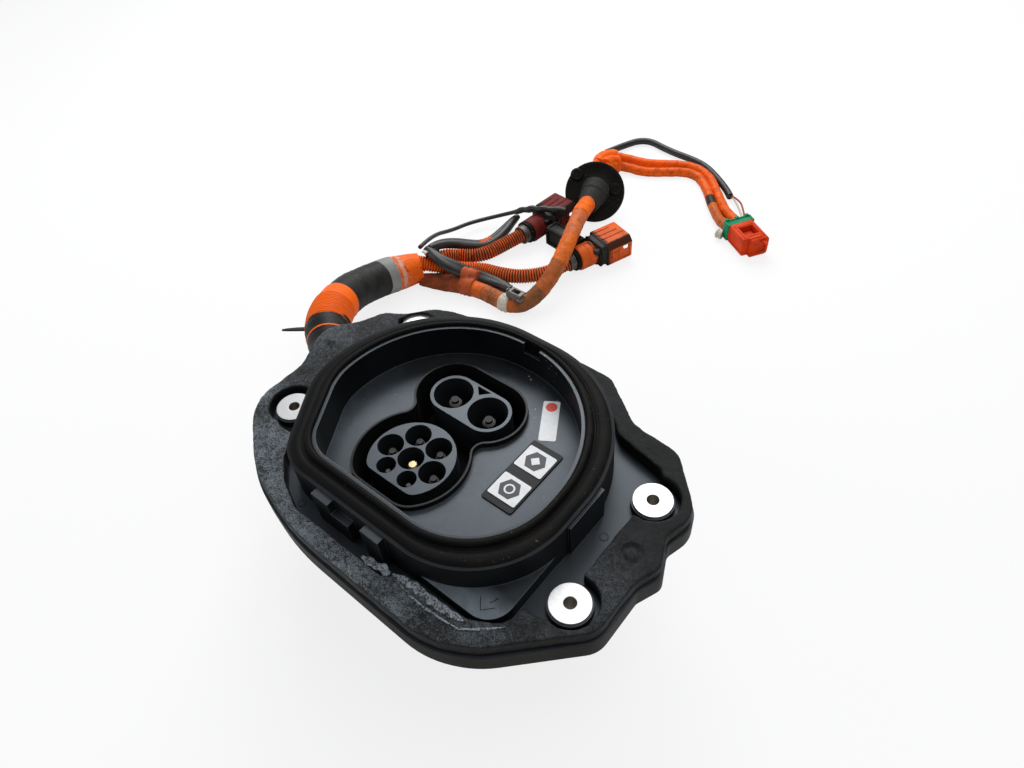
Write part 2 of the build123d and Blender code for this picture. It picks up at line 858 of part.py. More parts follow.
def make_cord(name, route, diameter):
    """Round cord along straight runs joined by arcs as large as the runs allow."""
    points = [Vector(*point) for point in route]
    radii = []
    for before, here, after in zip(points, points[1:], points[2:]):
        shorter = min((here - before).length, (after - here).length)
        turn = math.radians((here - before).get_angle(after - here))
        radii.append(0.45 * shorter / math.tan(turn / 2))
    path = FilletPolyline(*points, radius=radii)
    section = Plane(origin=path @ 0, z_dir=path % 0) * Circle(diameter / 2)
    cord = sweep(section, path=path)
    filled = cord.volume / (path.length * math.pi * diameter**2 / 4)
    shown = " ".join(f"{radius / diameter:.1f}" for radius in radii)
    print(f"{name}: length {path.length:.1f}, radii in diameters {shown}, volume ratio {filled:.3f}")
    return cord


def placed(origin, turn, body):
    """A piece made along +X from the origin, turned about Z and moved to its place."""
    return Location(origin, (0, 0, turn)) * body


def along(radius, start, end):
    """Round bar along +X."""
    return Pos((start + end) / 2, 0, 0) * Cylinder(radius, end - start, rotation=(0, 90, 0))


def make_connector(prefix, origin, turn, parts):
    """High-voltage connector: clamp, seal ring, barrel, black collar and keyed box."""
    bore = conduit_diameter / 2
    ring_start = clamp_length
    barrel_start = ring_start + ring_length
    collar_start = barrel_start + connector_barrel_length
    box_start = collar_start + collar_length
    box_end = box_start + box_length
    centre = connector_height / 2
    low = -origin[2]
    high = connector_height - origin[2]
    clamp = along(clamp_radius, -clamp_length, ring_start) - along(bore, -clamp_length, ring_start)
    parts[prefix + "_clamp_ring"] = placed(origin, turn, clamp)
    ring = along(ring_radius, ring_start, barrel_start)
    parts[prefix + "_seal_ring"] = placed(origin, turn, ring)
    lift = centre - origin[2]
    barrel = Pos(0, 0, lift) * along(connector_barrel_radius, barrel_start, collar_start)
    parts[prefix + "_barrel"] = placed(origin, turn, barrel)
    half = collar_width / 2
    collar = block(collar_start, box_start, -half, half, low, high)
    collar = fillet(collar.edges().filter_by(Axis.X), connector_height / 5)
    parts[prefix + "_collar"] = placed(origin, turn, collar)
    half = box_width / 2
    box = block(box_start, box_end, -half, half, low, high)
    box = fillet(box.edges().filter_by(Axis.X), box_edge)
    window_length, window_height = box_window
    window_end = box_end - box_recess
    box -= block(
        window_end - window_length, window_end, -half, -half + 2 * box_recess,
        lift - window_height / 2, lift + window_height / 2,
    )
    parts[prefix + "_box"] = placed(origin, turn, box)


def make_bracket():
    """Black holder between the two high-voltage connectors."""
    length, depth, height = bracket_size
    body = Box(length, depth, height)
    body = chamfer(body.edges().filter_by(Axis.X).group_by(Axis.Z)[-1], depth / 5)
    return placed((*bracket_centre, height / 2), bracket_turn, body)


def make_grommet():
    """Rubber bulkhead grommet: disc with two knobs and a slanted neck around the feed cable."""
    across = Vector(0, 0, 1).cross(Vector(*grommet_normal)).normalized()
    plane = Plane(origin=grommet_centre, x_dir=across, z_dir=grommet_normal)
    body = plane * Cylinder(grommet_radius, grommet_thickness)
    for x, y in knob_points:
        lift = (grommet_thickness + knob_height) / 2
        body += plane * Pos(x, y, lift) * Cylinder(knob_radius, knob_height)
    wide, narrow = neck_radius
    neck_plane = Plane(origin=grommet_centre, z_dir=neck_direction)
    neck = neck_plane * Pos(0, 0, (neck_length + neck_grip) / 2) * Cone(wide, narrow, neck_length + neck_grip)
    behind = plane * Pos(0, 0, -neck_length) * Cylinder(grommet_radius, 2 * neck_length)
    return body + (neck - behind)


def make_plug_body():
    """Small connector: a box with a socket at the far end, a window on top and a latch."""
    length, width, height = plug_size
    body = block(0, length, -width / 2, width / 2, 0, height)
    body = chamfer(body.edges().filter_by(Axis.X).group_by(Axis.Z)[-1], height / 6)
    mouth_depth, mouth_width, mouth_height = plug_mouth
    low = (height - mouth_height) / 2
    body -= block(length - mouth_depth, length, -mouth_width / 2, mouth_width / 2, low, low + mouth_height)
    window_length, window_width, window_depth = plug_window
    start = (length - window_length) / 2
    body -= block(
        start, start + window_length, -window_width / 2, window_width / 2, height - window_depth, height
    )
    latch_length, latch_width, latch_height = plug_latch
    latch_top = height - latch_height / 2
    body += block(
        length, length + latch_length, -latch_width / 2, latch_width / 2, latch_top - latch_height, latch_top
    )
    return placed((*plug_face, 0), plug_turn, body)


def make_lock_slab():
    """Wire-side lock of the small connector."""
    thickness, width, height = lock_slab
    low = (plug_size[2] - height) / 2
    return placed((*plug_face, low), plug_turn, block(-thickness, 0, -width / 2, width / 2, 0, height))


def make_white_plug():
    x, y = white_plug_centre
    body = Pos(x, y, white_plug_radius) * Rot(0, 90, 0) * Cylinder(white_plug_radius, white_plug_length)
    return body


def make_clip():
    """Sprung metal clip on the feed cable, open toward both ends."""
    length, depth, height = clip_size
    outer = Box(length, depth, height)
    inner = Box(length, depth - 2 * clip_wall, height - 2 * clip_wall)
    return Pos(*clip_centre, clip_lift + height / 2) * (outer - inner)


def main():
    parts = {
        "inlet_housing": make_housing(),
        "socket_shell": make_socket_shell(),
        "ac_contact_carrier": make_ac_carrier(),
        "dc_contact_carrier": make_dc_carrier(),
        "contact_retainer": make_retainer(),
        "rim_seal": make_rim_seal(),
        "foam_gasket": make_foam(),
        "label_pad": make_label_pad(),
        "label_tiles": make_label_tiles(),
        "sticker": make_sticker(),
        "rear_cover": make_rear_cover(),
        "rear_seal": make_rear_seal(),
        "cover_screws": make_screws(),
        "cable_gland": make_gland(),
        "lock_housing": make_lock_housing(),
        "lock_cover": make_lock_cover(),
        "lock_motor": make_lock_motor(),
        "lock_spindle": make_lock_spindle(),
        "lock_bolt": make_lock_bolt(),
        "connector_bracket": make_bracket(),
        "grommet": make_grommet(),
        "plug_body": make_plug_body(),
        "plug_lock_slab": make_lock_slab(),
        "white_plug": make_white_plug(),
        "cable_clip": make_clip(),
    }
    capped_top = pin_top - cap_height
    earth, *powers = power_points()
    parts["pin_earth"] = make_contact(*earth, pin_radius, pin_top)
    for number, (x, y) in enumerate(powers, start=1):
        parts[f"pin_ac_{number}"] = make_contact(x, y, pin_radius, capped_top)
    for name, (x, y) in zip(("left", "right"), signal_points()):
        parts[f"pin_signal_{name}"] = make_contact(x, y, signal_pin_radius, pin_top)
    for name, (x, y) in zip(("left", "right"), dc_points()):
        parts[f"pin_dc_{name}"] = make_contact(x, y, dc_pin_radius, capped_top)
    parts["ac_touch_caps"] = make_caps(powers, cap_radius)
    parts["dc_touch_caps"] = make_caps(dc_points(), dc_cap_radius)
    for number, (x, y, pocket) in enumerate(sleeve_points, start=1):
        parts[f"mounting_sleeve_{number}"] = make_sleeve(x, y)
    make_connector("orange", orange_connector, orange_turn, parts)
    make_connector("red", red_connector, red_turn, parts)
    cords = {
        "trunk_cable": (trunk_route, trunk_diameter),
        "red_conduit": (red_conduit_route, conduit_diameter),
        "orange_conduit": (orange_conduit_route, conduit_diameter),
        "feed_cable": (feed_route, feed_diameter),
        "thin_lead": (thin_lead_route, lead_diameter),
        "upper_lead_sleeve": (upper_sleeve_route, lead_sleeve_diameter),
        "lower_lead_sleeve": (lower_sleeve_route, lead_sleeve_diameter),
        "outer_ac_cable": (outer_ac_route, ac_cable_diameter),
        "inner_ac_cable": (inner_ac_route, ac_cable_diameter),
        "signal_tube": (signal_tube_route, signal_tube_diameter),
    }
    for name, (route, diameter) in cords.items():
        parts[name] = make_cord(name, route, diameter)
    os.makedirs("parts", exist_ok=True)
    for name, part in parts.items():
        export_step(part, f"parts/{name}.step")
    print(f"{len(parts)} nodes")


main()
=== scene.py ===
import bmesh
import bpy
import math
from mathutils import Matrix, Vector, noise


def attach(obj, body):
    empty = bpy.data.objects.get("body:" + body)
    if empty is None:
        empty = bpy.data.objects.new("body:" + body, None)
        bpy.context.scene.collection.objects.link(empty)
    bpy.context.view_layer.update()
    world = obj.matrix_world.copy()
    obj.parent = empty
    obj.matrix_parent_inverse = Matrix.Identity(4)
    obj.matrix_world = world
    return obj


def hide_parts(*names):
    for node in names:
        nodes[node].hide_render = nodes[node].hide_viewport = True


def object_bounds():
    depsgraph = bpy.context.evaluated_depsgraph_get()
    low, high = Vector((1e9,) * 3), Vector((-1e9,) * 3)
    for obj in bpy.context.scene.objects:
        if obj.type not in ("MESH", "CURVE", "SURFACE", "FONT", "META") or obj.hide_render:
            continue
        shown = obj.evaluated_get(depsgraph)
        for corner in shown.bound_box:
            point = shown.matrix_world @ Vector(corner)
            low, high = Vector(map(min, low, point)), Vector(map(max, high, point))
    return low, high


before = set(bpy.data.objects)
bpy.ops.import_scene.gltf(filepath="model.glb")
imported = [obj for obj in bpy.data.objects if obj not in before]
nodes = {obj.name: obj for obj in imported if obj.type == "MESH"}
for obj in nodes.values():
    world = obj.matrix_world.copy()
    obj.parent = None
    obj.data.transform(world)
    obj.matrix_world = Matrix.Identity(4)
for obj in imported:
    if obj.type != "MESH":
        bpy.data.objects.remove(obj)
cadLow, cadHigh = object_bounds()
fullTurn = 2 * math.pi
scene = bpy.context.scene
print("frame loaded with", len(nodes), "nodes")


def addObject(name, data):
    made = bpy.data.objects.new(name, data)
    scene.collection.objects.link(made)
    return made


def aimed(spot, heading):
    # matrix at a spot, with Z along the heading
    return Matrix.Translation(spot) @ heading.to_track_quat("Z", "Y").to_matrix().to_4x4()


def turnedTo(spot, degrees):
    return Matrix.Translation(spot) @ Matrix.Rotation(math.radians(degrees), 4, "Z")


def upon(x, y, z):
    # matrix whose columns are three directions
    return Matrix((x, y, z)).transposed().to_4x4()


cameraShot = {
    "place": (0.224339, -0.146749, 0.434709),
    "right": (0.77186152, 0.63180439, -0.07108449),
    "up": (-0.42915461, 0.60022722, 0.67494711),
    "back": (0.46910139, -0.49045947, 0.73443406),
    "lens": 26.543,
    "sensor": 36.0,
}
camera = addObject("photoCamera", bpy.data.cameras.new("photoCamera"))
camera.data.lens = cameraShot["lens"]
camera.data.sensor_width = cameraShot["sensor"]
camera.data.clip_start = 0.01
turn = upon(cameraShot["right"], cameraShot["up"], cameraShot["back"])
camera.matrix_world = Matrix.Translation(cameraShot["place"]) @ turn
scene.camera = camera
scene.view_settings.view_transform = "Standard"

lamps = {
    "sheen": {"place": (-0.62, 0.95, 0.95), "aim": (0.0, 0.05, 0.09), "size": 0.95, "watts": 15.0},
    "key": {"place": (0.35, 0.25, 1.25), "aim": (-0.02, 0.1, 0.05), "size": 0.8, "watts": 4.2},
    "side": {"place": (-0.9, -0.55, 0.6), "aim": (-0.05, 0.05, 0.06), "size": 0.7, "watts": 2.2},
}
for name, lamp in lamps.items():
    light = addObject(name + "Lamp", bpy.data.lights.new(name + "Lamp", "AREA"))
    light.data.shape = "SQUARE"
    light.data.size = lamp["size"]
    light.data.energy = lamp["watts"]
    light.matrix_world = aimed(lamp["place"], Vector(lamp["place"]) - Vector(lamp["aim"]))
print("camera and lamps placed")


class Wire:
    # an output socket that takes part in sums
    def __init__(self, paint, socket):
        self.paint = paint
        self.socket = socket

    def spread(self, low, high, toLow=0.0, toHigh=1.0):
        return self.paint.node("ShaderNodeMapRange", None, {0: self, 1: low, 2: high, 3: toLow, 4: toHigh})


signs = {"add": "ADD", "mul": "MULTIPLY", "sub": "SUBTRACT", "truediv": "DIVIDE", "pow": "POWER"}
for sign, word in (signs | {"gt": "GREATER_THAN", "lt": "LESS_THAN"}).items():
    setattr(Wire, f"__{sign}__", lambda self, other, word=word: self.paint.maths(word, self, other))
for sign, word in signs.items():
    setattr(Wire, f"__r{sign}__", lambda self, other, word=word: self.paint.maths(word, other, self))


class Paint:
    def __init__(self, name):
        self.material = bpy.data.materials.new(name)
        self.material.use_nodes = True
        self.tree = self.material.node_tree
        self.tree.nodes.clear()
        self.end = None
        self.point = self.node("ShaderNodeTexCoord", output="Object")

    def node(self, kind, settings=None, sockets=None, output=0):
        made = self.tree.nodes.new(kind)
        made.location = (200 * len(self.tree.nodes), 0)
        for key, value in (settings or {}).items():
            setattr(made, key, value)
        for key, value in (sockets or {}).items():
            if isinstance(value, Wire):
                self.tree.links.new(value.socket, made.inputs[key])
            elif value is not None:
                if made.inputs[key].type == "RGBA" and len(value) == 3:
                    value = (*value, 1.0)
                made.inputs[key].default_value = value
        return Wire(self, made.outputs[output]) if made.outputs else made

    def maths(self, operation, first, second=0.0):
        return self.node("ShaderNodeMath", {"operation": operation}, {0: first, 1: second})

    def most(self, first, *others):
        for other in others:
            first = self.maths("MAXIMUM", first, other)
        return first

    def axes(self, vector=None):
        split = self.node("ShaderNodeSeparateXYZ", None, {0: vector or self.point})
        return [Wire(self, socket) for socket in split.socket.node.outputs]

    def along(self):
        # metres along a cord, and the turn around it from 0 to 1
        return self.axes(self.node("ShaderNodeUVMap", {"uv_map": "along"}))[:2]

    def noise(self, scale, detail=3.0, rough=0.55, vector=None, twist=0.0):
        sockets = {"Vector": vector or self.point, "Scale": scale, "Detail": detail}
        sockets.update({"Roughness": rough, "Distortion": twist})
        return self.node("ShaderNodeTexNoise", None, sockets, "Fac")

    def cells(self, scale):
        return self.node("ShaderNodeTexVoronoi", None, {"Vector": self.point, "Scale": scale}, "Distance")

    def stretched(self, x, y, z):
        return self.node("ShaderNodeMapping", None, {"Vector": self.point, "Scale": (x, y, z)})

    def blend(self, first, *layers):
        # each layer is a colour and how much of it lies over what is below
        for second, factor in zip(layers[::2], layers[1::2]):
            first = self.node("ShaderNodeMix", {"data_type": "RGBA"}, {0: factor, 6: first, 7: second}, 2)
        return first

    def banded(self, bands, cloud, ragged):
        # each band is its end along the cord in metres, its colour and its second colour
        colour = None
        for end, first, second in reversed(bands):
            shade = self.blend(first, second, cloud.spread(0.36, 0.7))
            colour = shade if colour is None else self.blend(shade, colour, ragged > end)
        return colour

    def near(self, x, y, radius, soft):
        # 1 inside an upright cylinder of that radius, 0 outside it
        px, py, pz = self.axes()
        away = ((px - x) ** 2.0 + (py - y) ** 2.0) ** 0.5
        return away.spread(radius, radius + soft, 1.0, 0.0)

    def edges(self, radius):
        # 1 on worn edges, from how far a rounded normal leans from the flat one
        rounded = self.node("ShaderNodeBevel", {"samples": 4}, {"Radius": radius}, "Normal")
        flat = self.node("ShaderNodeNewGeometry", output="Normal")
        lean = self.node("ShaderNodeVectorMath", {"operation": "DOT_PRODUCT"}, {0: rounded, 1: flat}, "Value")
        return (1.0 - lean).spread(0.02, 0.22)

    def surface(self, colour, roughness=0.5, metallic=0.0, bumps=(), rounding=0.0, fixed=None):
        normal = None
        if rounding:
            normal = self.node("ShaderNodeBevel", {"samples": 4}, {"Radius": rounding}, "Normal")
        for height, distance, strength in bumps:
            sockets = {"Strength": strength, "Distance": distance, "Height": height, "Normal": normal}
            normal = self.node("ShaderNodeBump", None, sockets)
        sockets = {"Base Color": colour, "Roughness": roughness, "Metallic": metallic, "Normal": normal}
        sockets.update(fixed or {})
        self.shader = self.node("ShaderNodeBsdfPrincipled", None, sockets)
        return self.finish(self.shader)

    def finish(self, shader):
        if not self.end:
            self.end = self.tree.nodes.new("ShaderNodeOutputMaterial")
        self.tree.links.new(shader.socket, self.end.inputs["Surface"])
        return self.material

    def upright(self, low=0.35, high=0.8):
        # 1 on faces that look up, 0 on walls
        x, y, z = self.axes(self.node("ShaderNodeNewGeometry", output="Normal"))
        return z.spread(low, high)


def paintFloor():
    paint = Paint("whiteFloor")
    diffuse = paint.node("ShaderNodeBsdfDiffuse", None, {"Color": (0.92, 0.92, 0.92)})
    white = paint.node("ShaderNodeEmission", None, {"Color": (1, 1, 1), "Strength": 1.0})
    rays = paint.node("ShaderNodeLightPath")
    seen = {socket.name: Wire(paint, socket) for socket in rays.socket.node.outputs}
    share = paint.most(seen["Is Camera Ray"], seen["Is Transmission Ray"]) * 0.8
    mixed = paint.node("ShaderNodeMixShader", None, {0: share, 1: diffuse, 2: white})
    paint.node("ShaderNodeOutputMaterial", None, {"Surface": mixed})
    return paint.material


def makeWorld():
    # white behind the part for the camera, dim light for everything else
    world = bpy.data.worlds.new("studio")
    scene.world = world
    world.use_nodes = True
    tree = world.node_tree
    tree.nodes.clear()
    rays, dim, white, mixed, end = [tree.nodes.new("ShaderNode" + kind) for kind in (
        "LightPath", "Background", "Background", "MixShader", "OutputWorld")]
    dim.inputs["Color"].default_value = (0.93, 0.97, 1.0, 1.0)
    dim.inputs["Strength"].default_value = 0.3
    white.inputs["Color"].default_value = (1.0, 1.0, 1.0, 1.0)
    for number, socket in enumerate((rays.outputs["Is Camera Ray"], dim.outputs[0], white.outputs[0])):
        tree.links.new(socket, mixed.inputs[number])
    tree.links.new(mixed.outputs[0], end.inputs["Surface"])


makeWorld()


satin = {"Specular IOR Level": 0.8, "Specular Tint": (0.8, 0.9, 1.0)}
dull = {"Specular IOR Level": 0.28}
matt = {"Specular IOR Level": 0.12}


def paintHousing():
    look = {
        "dark": (0.0035, 0.004, 0.005), "pale": (0.011, 0.013, 0.0155), "worn": (0.13, 0.14, 0.15),
        "skirtDark": (0.007, 0.006, 0.004), "skirtPale": (0.024, 0.02, 0.012), "dust": (0.045, 0.05, 0.056),
        "bowlSheen": (0.052, 0.061, 0.071), "deckSheen": (0.19, 0.23, 0.26), "crumbs": (0.45, 0.41, 0.36),
    }
    # heights of the skirt, the bowl floor, the platform and the shoulder
    heights = ((0.0775, 0.0912), (0.0935, 0.0995), (0.1, 0.1025), (0.1165, 0.1182))
    paint = Paint("housingPlastic")
    x, y, z = paint.axes()
    skirt, bowlFloor, deck, shoulder = [(z > low) * (z < high) for low, high in heights]
    upright = paint.upright() * (1.0 - shoulder)
    cloud = paint.noise(28, 5, 0.6)
    mottle = paint.noise(60, 6, 0.7, twist=0.8).spread(0.3, 0.7, 0.55, 1.15)
    # painted sheen: bluish light laid on two patches of the bowl floor and, towards the front, on the platform
    floor = bowlFloor * upright
    bowl = paint.most(paint.near(-0.052, 0.0, 0.012, 0.045), paint.near(0.04, -0.015, 0.02, 0.045))
    deck = deck * upright * (y + cloud * 0.012).spread(-0.026, -0.036)
    smear = paint.noise(90, 6, 0.7, paint.stretched(1.0, 0.35, 1.0))
    dust = smear.spread(0.56, 0.78) * 0.35 * upright
    crumbs = paint.near(0.0215, 0.0765, 0.012, 0.012) * (paint.cells(330) < 0.17)
    crumbs = crumbs * (paint.noise(150) > 0.56) + floor * (paint.cells(210) < 0.045) * (paint.noise(45) > 0.55)
    streak = paint.noise(55, 6, 0.65, paint.stretched(1.0, 1.0, 0.3))
    brown = paint.blend(look["skirtDark"], look["skirtPale"], streak.spread(0.35, 0.72))
    # edges above the plate are painted paler and bluish: part wear, part painted edge highlight
    colour = paint.blend(
        look["dark"], look["pale"], cloud.spread(0.3, 0.7), look["bowlSheen"], floor * bowl * mottle * 0.85,
        look["deckSheen"], deck * mottle * 0.75, look["dust"], dust, look["crumbs"], crumbs,
        look["worn"], paint.edges(0.0007) * 0.6 * (z > 0.0925), brown, skirt * (1.0 - upright) * 0.9)
    rough = 0.36 + cloud.spread(0.3, 0.8) * 0.1 + dust * 0.3
    grain = paint.noise(2600, 2, 0.5)
    scratch = paint.noise(240, 2, 0.6, paint.stretched(1.0, 7.0, 1.0))
    bumps = [(grain, 0.00012, 0.12), (scratch, 0.0002, 0.05)]
    paint.surface(colour, rough, bumps=bumps, rounding=0.0006, fixed=satin)
    glossy = paint.shader
    paint.surface(colour, 0.5, bumps=[(grain, 0.00012, 0.12)], rounding=0.0006, fixed=matt)
    # walls and the skirt are duller than what looks up
    mixed = paint.node("ShaderNodeMixShader", None, {0: upright, 1: paint.shader, 2: glossy})
    return paint.finish(mixed)


def paintMoulded(name, dark, pale, roughness, grime=0.3, rounding=0.0004, fixed=None, wallShade=1.0):
    paint = Paint(name)
    cloud = paint.noise(120, 5, 0.6)
    spots = paint.noise(420, 4, 0.7).spread(0.6, 0.76) * grime
    colour = paint.blend(dark, pale, cloud.spread(0.3, 0.72), (0.085, 0.085, 0.08), spots)
    rough = roughness + cloud.spread(0.3, 0.8) * 0.12
    # painted shade: faces that do not look up take a darker copy of the dark tone
    if wallShade < 1.0:
        upright = paint.upright()
        colour = paint.blend([wallShade * part for part in dark], colour, upright)
        rough = rough + (1.0 - upright) * 0.3
    grain = paint.noise(3000, 2, 0.5)
    return paint.surface(colour, rough, bumps=[(grain, 0.0001, 0.12)], rounding=rounding, fixed=fixed)


def paintFoam():
    look = {"black": (0.003, 0.0032, 0.0036), "glintSheen": (0.3, 0.345, 0.39), "dust": (0.032, 0.031, 0.027)}
    paint = Paint("foamSkin")
    x, y, z = paint.axes()
    upright = paint.upright(0.55, 0.92)
    grain = paint.noise(1500, 4, 0.7)
    coarse = paint.noise(420, 4, 0.6)
    patch = paint.noise(38, 4, 0.6)
    # painted sheen: pale bluish glints on faces that look up, strongest at the front, with patches at the right and
    # the left, and fainter towards the right
    lower = (y * -1.0 - x * 0.12 + patch * 0.05).spread(0.03, 0.066)
    corner = paint.near(0.122, -0.002, 0.01, 0.032)
    left = paint.near(-0.098, 0.02, 0.03, 0.06) * 0.45
    area = paint.most(lower, corner * 0.6, left)
    speck = (grain * 0.7 + coarse * 0.3 + (patch - 0.5) * 0.3).spread(0.44, 0.66)
    plain = x.spread(0.02, 0.09, 1.0, 0.55)
    amount = speck * (0.04 + area * 0.8) * upright * plain
    dust = coarse.spread(0.55, 0.8) * 0.2
    low = z.spread(0.0925, 0.096, 1.0, 0.0)
    colour = paint.blend(
        look["black"], look["glintSheen"], amount, look["dust"], dust, (0.014, 0.011, 0.007), low * 0.5)
    rough = 0.46 + grain.spread(0.3, 0.7) * 0.25 - area * 0.08
    bumps = [(coarse, 0.0008, 0.45), (grain, 0.0006, 0.9)]
    return paint.surface(colour, rough, bumps=bumps, fixed=dull)


def paintRubber(name, dark=(0.0018, 0.0018, 0.0019), dust=(0.06, 0.046, 0.03), amount=0.12, roughness=0.62):
    paint = Paint(name)
    x, y, z = paint.axes()
    cloud = paint.noise(70, 5, 0.6)
    fine = paint.noise(900, 4, 0.65)
    side = (x + y * 0.3 + cloud * 0.03).spread(0.06, 0.105, amount, amount * 4.0)
    cover = cloud.spread(0.42, 0.75) * fine.spread(0.3, 0.75) * side
    speck = paint.noise(620, 2, 0.5).spread(0.7, 0.76) * side * 1.5
    colour = paint.blend(dark, dust, cover, (0.26, 0.21, 0.15), speck)
    rough = roughness + cover * 0.35
    return paint.surface(colour, rough, bumps=[(fine, 0.0002, 0.3)], rounding=0.0003, fixed=matt)


def paintMetal(name, colour, roughness, dirt):
    paint = Paint(name)
    cloud = paint.noise(160, 4, 0.6)
    marks = paint.noise(480, 4, 0.7).spread(0.58, 0.75) * dirt
    shade = paint.blend(
        colour, [0.72 * part for part in colour], cloud.spread(0.35, 0.75), (0.12, 0.1, 0.075), marks)
    fine = paint.noise(1500, 2, 0.5, paint.stretched(1.0, 1.0, 6.0))
    rough = roughness + cloud.spread(0.3, 0.8) * 0.12 + marks * 0.3
    return paint.surface(shade, rough, 1.0, [(fine, 0.00008, 0.1)], 0.0003)


def paintSleeves():
    # bright turned washers, painted greyer on the left side as shade, with brass threads in their bores painted
    # dark between the turns as shade
    spots = ((0.1219, 0.0575), (0.1217, -0.0154), (-0.0873, -0.0135), (-0.0765, 0.0842))
    paint = Paint("turnedAluminium")
    px, py, pz = paint.axes()
    bore = 0.0
    ring = 0.0
    for x, y in spots:
        away = ((px - x) ** 2.0 + (py - y) ** 2.0) ** 0.5
        bore = away.spread(0.0032, 0.0036, 1.0, 0.0) + bore
        ring = away.spread(0.0086, 0.0104) * (away < 0.012) + ring
    cloud = paint.noise(260, 4, 0.6)
    marks = paint.noise(600, 4, 0.7).spread(0.66, 0.78) * 0.25
    # painted shade: dark between the turns of the brass thread in each bore
    turns = paint.maths("SINE", pz * (fullTurn / 0.0009))
    thread = paint.blend((0.06, 0.048, 0.036), (0.46, 0.35, 0.2), turns.spread(-0.2, 0.8))
    # washers left of the middle are painted greyer: painted shade
    shade = paint.blend(
        (0.95, 0.95, 0.945), (0.8, 0.8, 0.79), cloud.spread(0.45, 0.8), (0.5, 0.51, 0.52), (px < 0.0) * 0.55,
        (0.3, 0.28, 0.25), marks, thread, bore)
    rough = 0.34 + cloud.spread(0.3, 0.8) * 0.1 + bore * 0.15
    return paint.surface(shade, rough, 0.9, [(turns * bore, 0.0003, 0.3)], 0.0004)


def paintPrint(name, colour, roughness=0.35):
    paint = Paint(name)
    cloud = paint.noise(300, 4, 0.6)
    shade = paint.blend(colour, [0.86 * part for part in colour], cloud.spread(0.4, 0.8))
    return paint.surface(shade, roughness + cloud * 0.1, bumps=[(paint.noise(900, 2), 0.00005, 0.1)])


def paintFilm():
    # torn skin of the foam: pale and crumbly, dark where it has worn through
    paint = Paint("tornSkin")
    tear = paint.noise(520, 5, 0.8, twist=1.2).spread(0.42, 0.58)
    colour = paint.blend((0.012, 0.012, 0.013), (0.36, 0.4, 0.44), tear)
    return paint.surface(colour, 0.5, bumps=[(paint.noise(800, 4, 0.7), 0.0004, 0.7)], fixed=dull)


def paintDusty(name, clean, deep, dirt, grime=0.55, roughness=0.45, marks=None):
    # bright plastic of a connector; marks is its frame, where dirt lies near the collar and along the box
    paint = Paint(name)
    x, y, z = paint.axes()
    cloud = paint.noise(75, 6, 0.62)
    fine = paint.noise(700, 4, 0.7)
    cover = paint.noise(170, 6, 0.72, twist=0.6).spread(0.48, 0.72) * fine.spread(0.25, 0.7) * grime
    spots = paint.noise(330, 3, 0.6).spread(0.66, 0.72) * grime
    # edges painted brighter than the clean plastic: part wear, part painted edge highlight
    worn = paint.edges(0.0005)
    colour = paint.blend(
        clean, deep, cloud.spread(0.35, 0.7), dirt, cover, (0.03, 0.018, 0.012), spots,
        [min(1.0, 1.2 * part + 0.01) for part in clean], worn * 0.4)
    if marks:
        ox, oy, turnBy = marks
        cos, sin = math.cos(math.radians(turnBy)), math.sin(math.radians(turnBy))
        along = (x - ox) * cos + (y - oy) * sin
        across = (y - oy) * cos - (x - ox) * sin
        rag = (paint.noise(230, 5, 0.75, twist=1.0) - 0.5) * 0.014
        collar = (along + rag).spread(0.02, 0.0235) * (along + rag).spread(0.0365, 0.0335)
        stripe = (across + rag * 0.35).spread(-0.0085, -0.0095) * (z > 0.0165) * (along > 0.033)
        colour = paint.blend(colour, (0.014, 0.01, 0.008), paint.most(collar, stripe) * 0.93)
    rough = roughness + cover * 0.3
    return paint.surface(colour, rough, bumps=[(fine, 0.00015, 0.25)], rounding=0.0004, fixed=matt)


def paintConduit(name, bright, worn, dirtFrom, dirtTo, heavy):
    # corrugated conduit: clean near its start; its valleys are painted dark as shade, and browner with dirt further
    # on
    look = {"valleyShadeAndDirt": (0.03, 0.011, 0.006), "dust": (0.15, 0.06, 0.03), "black": (0.012, 0.01, 0.009)}
    paint = Paint(name)
    u, v = paint.along()
    crest = paint.node("ShaderNodeAttribute", {"attribute_name": "crest"}, output="Fac")
    cloud = paint.noise(120, 5, 0.65)
    dirty = (u + (cloud - 0.5) * 0.03).spread(dirtFrom, dirtTo)
    # painted shade in the valleys, deeper where the dirt begins
    valleyShadeAndDirt = crest.spread(0.2, 0.9, 1.0, 0.0) * (0.45 + dirty * 0.55)
    dust = paint.noise(260, 5, 0.7).spread(0.42, 0.66) * dirty * heavy
    grime = paint.noise(150, 4, 0.7).spread(0.58, 0.7) * dirty * heavy
    colour = paint.blend(
        bright, worn, cloud.spread(0.35, 0.7) * (0.35 + dirty * 0.65), look["valleyShadeAndDirt"], valleyShadeAndDirt,
        look["dust"], dust, look["black"], grime * 0.8)
    rough = 0.38 + dirty * 0.25
    return paint.surface(colour, rough, bumps=[(paint.noise(1500, 3, 0.6), 0.00015, 0.2)], fixed=matt)


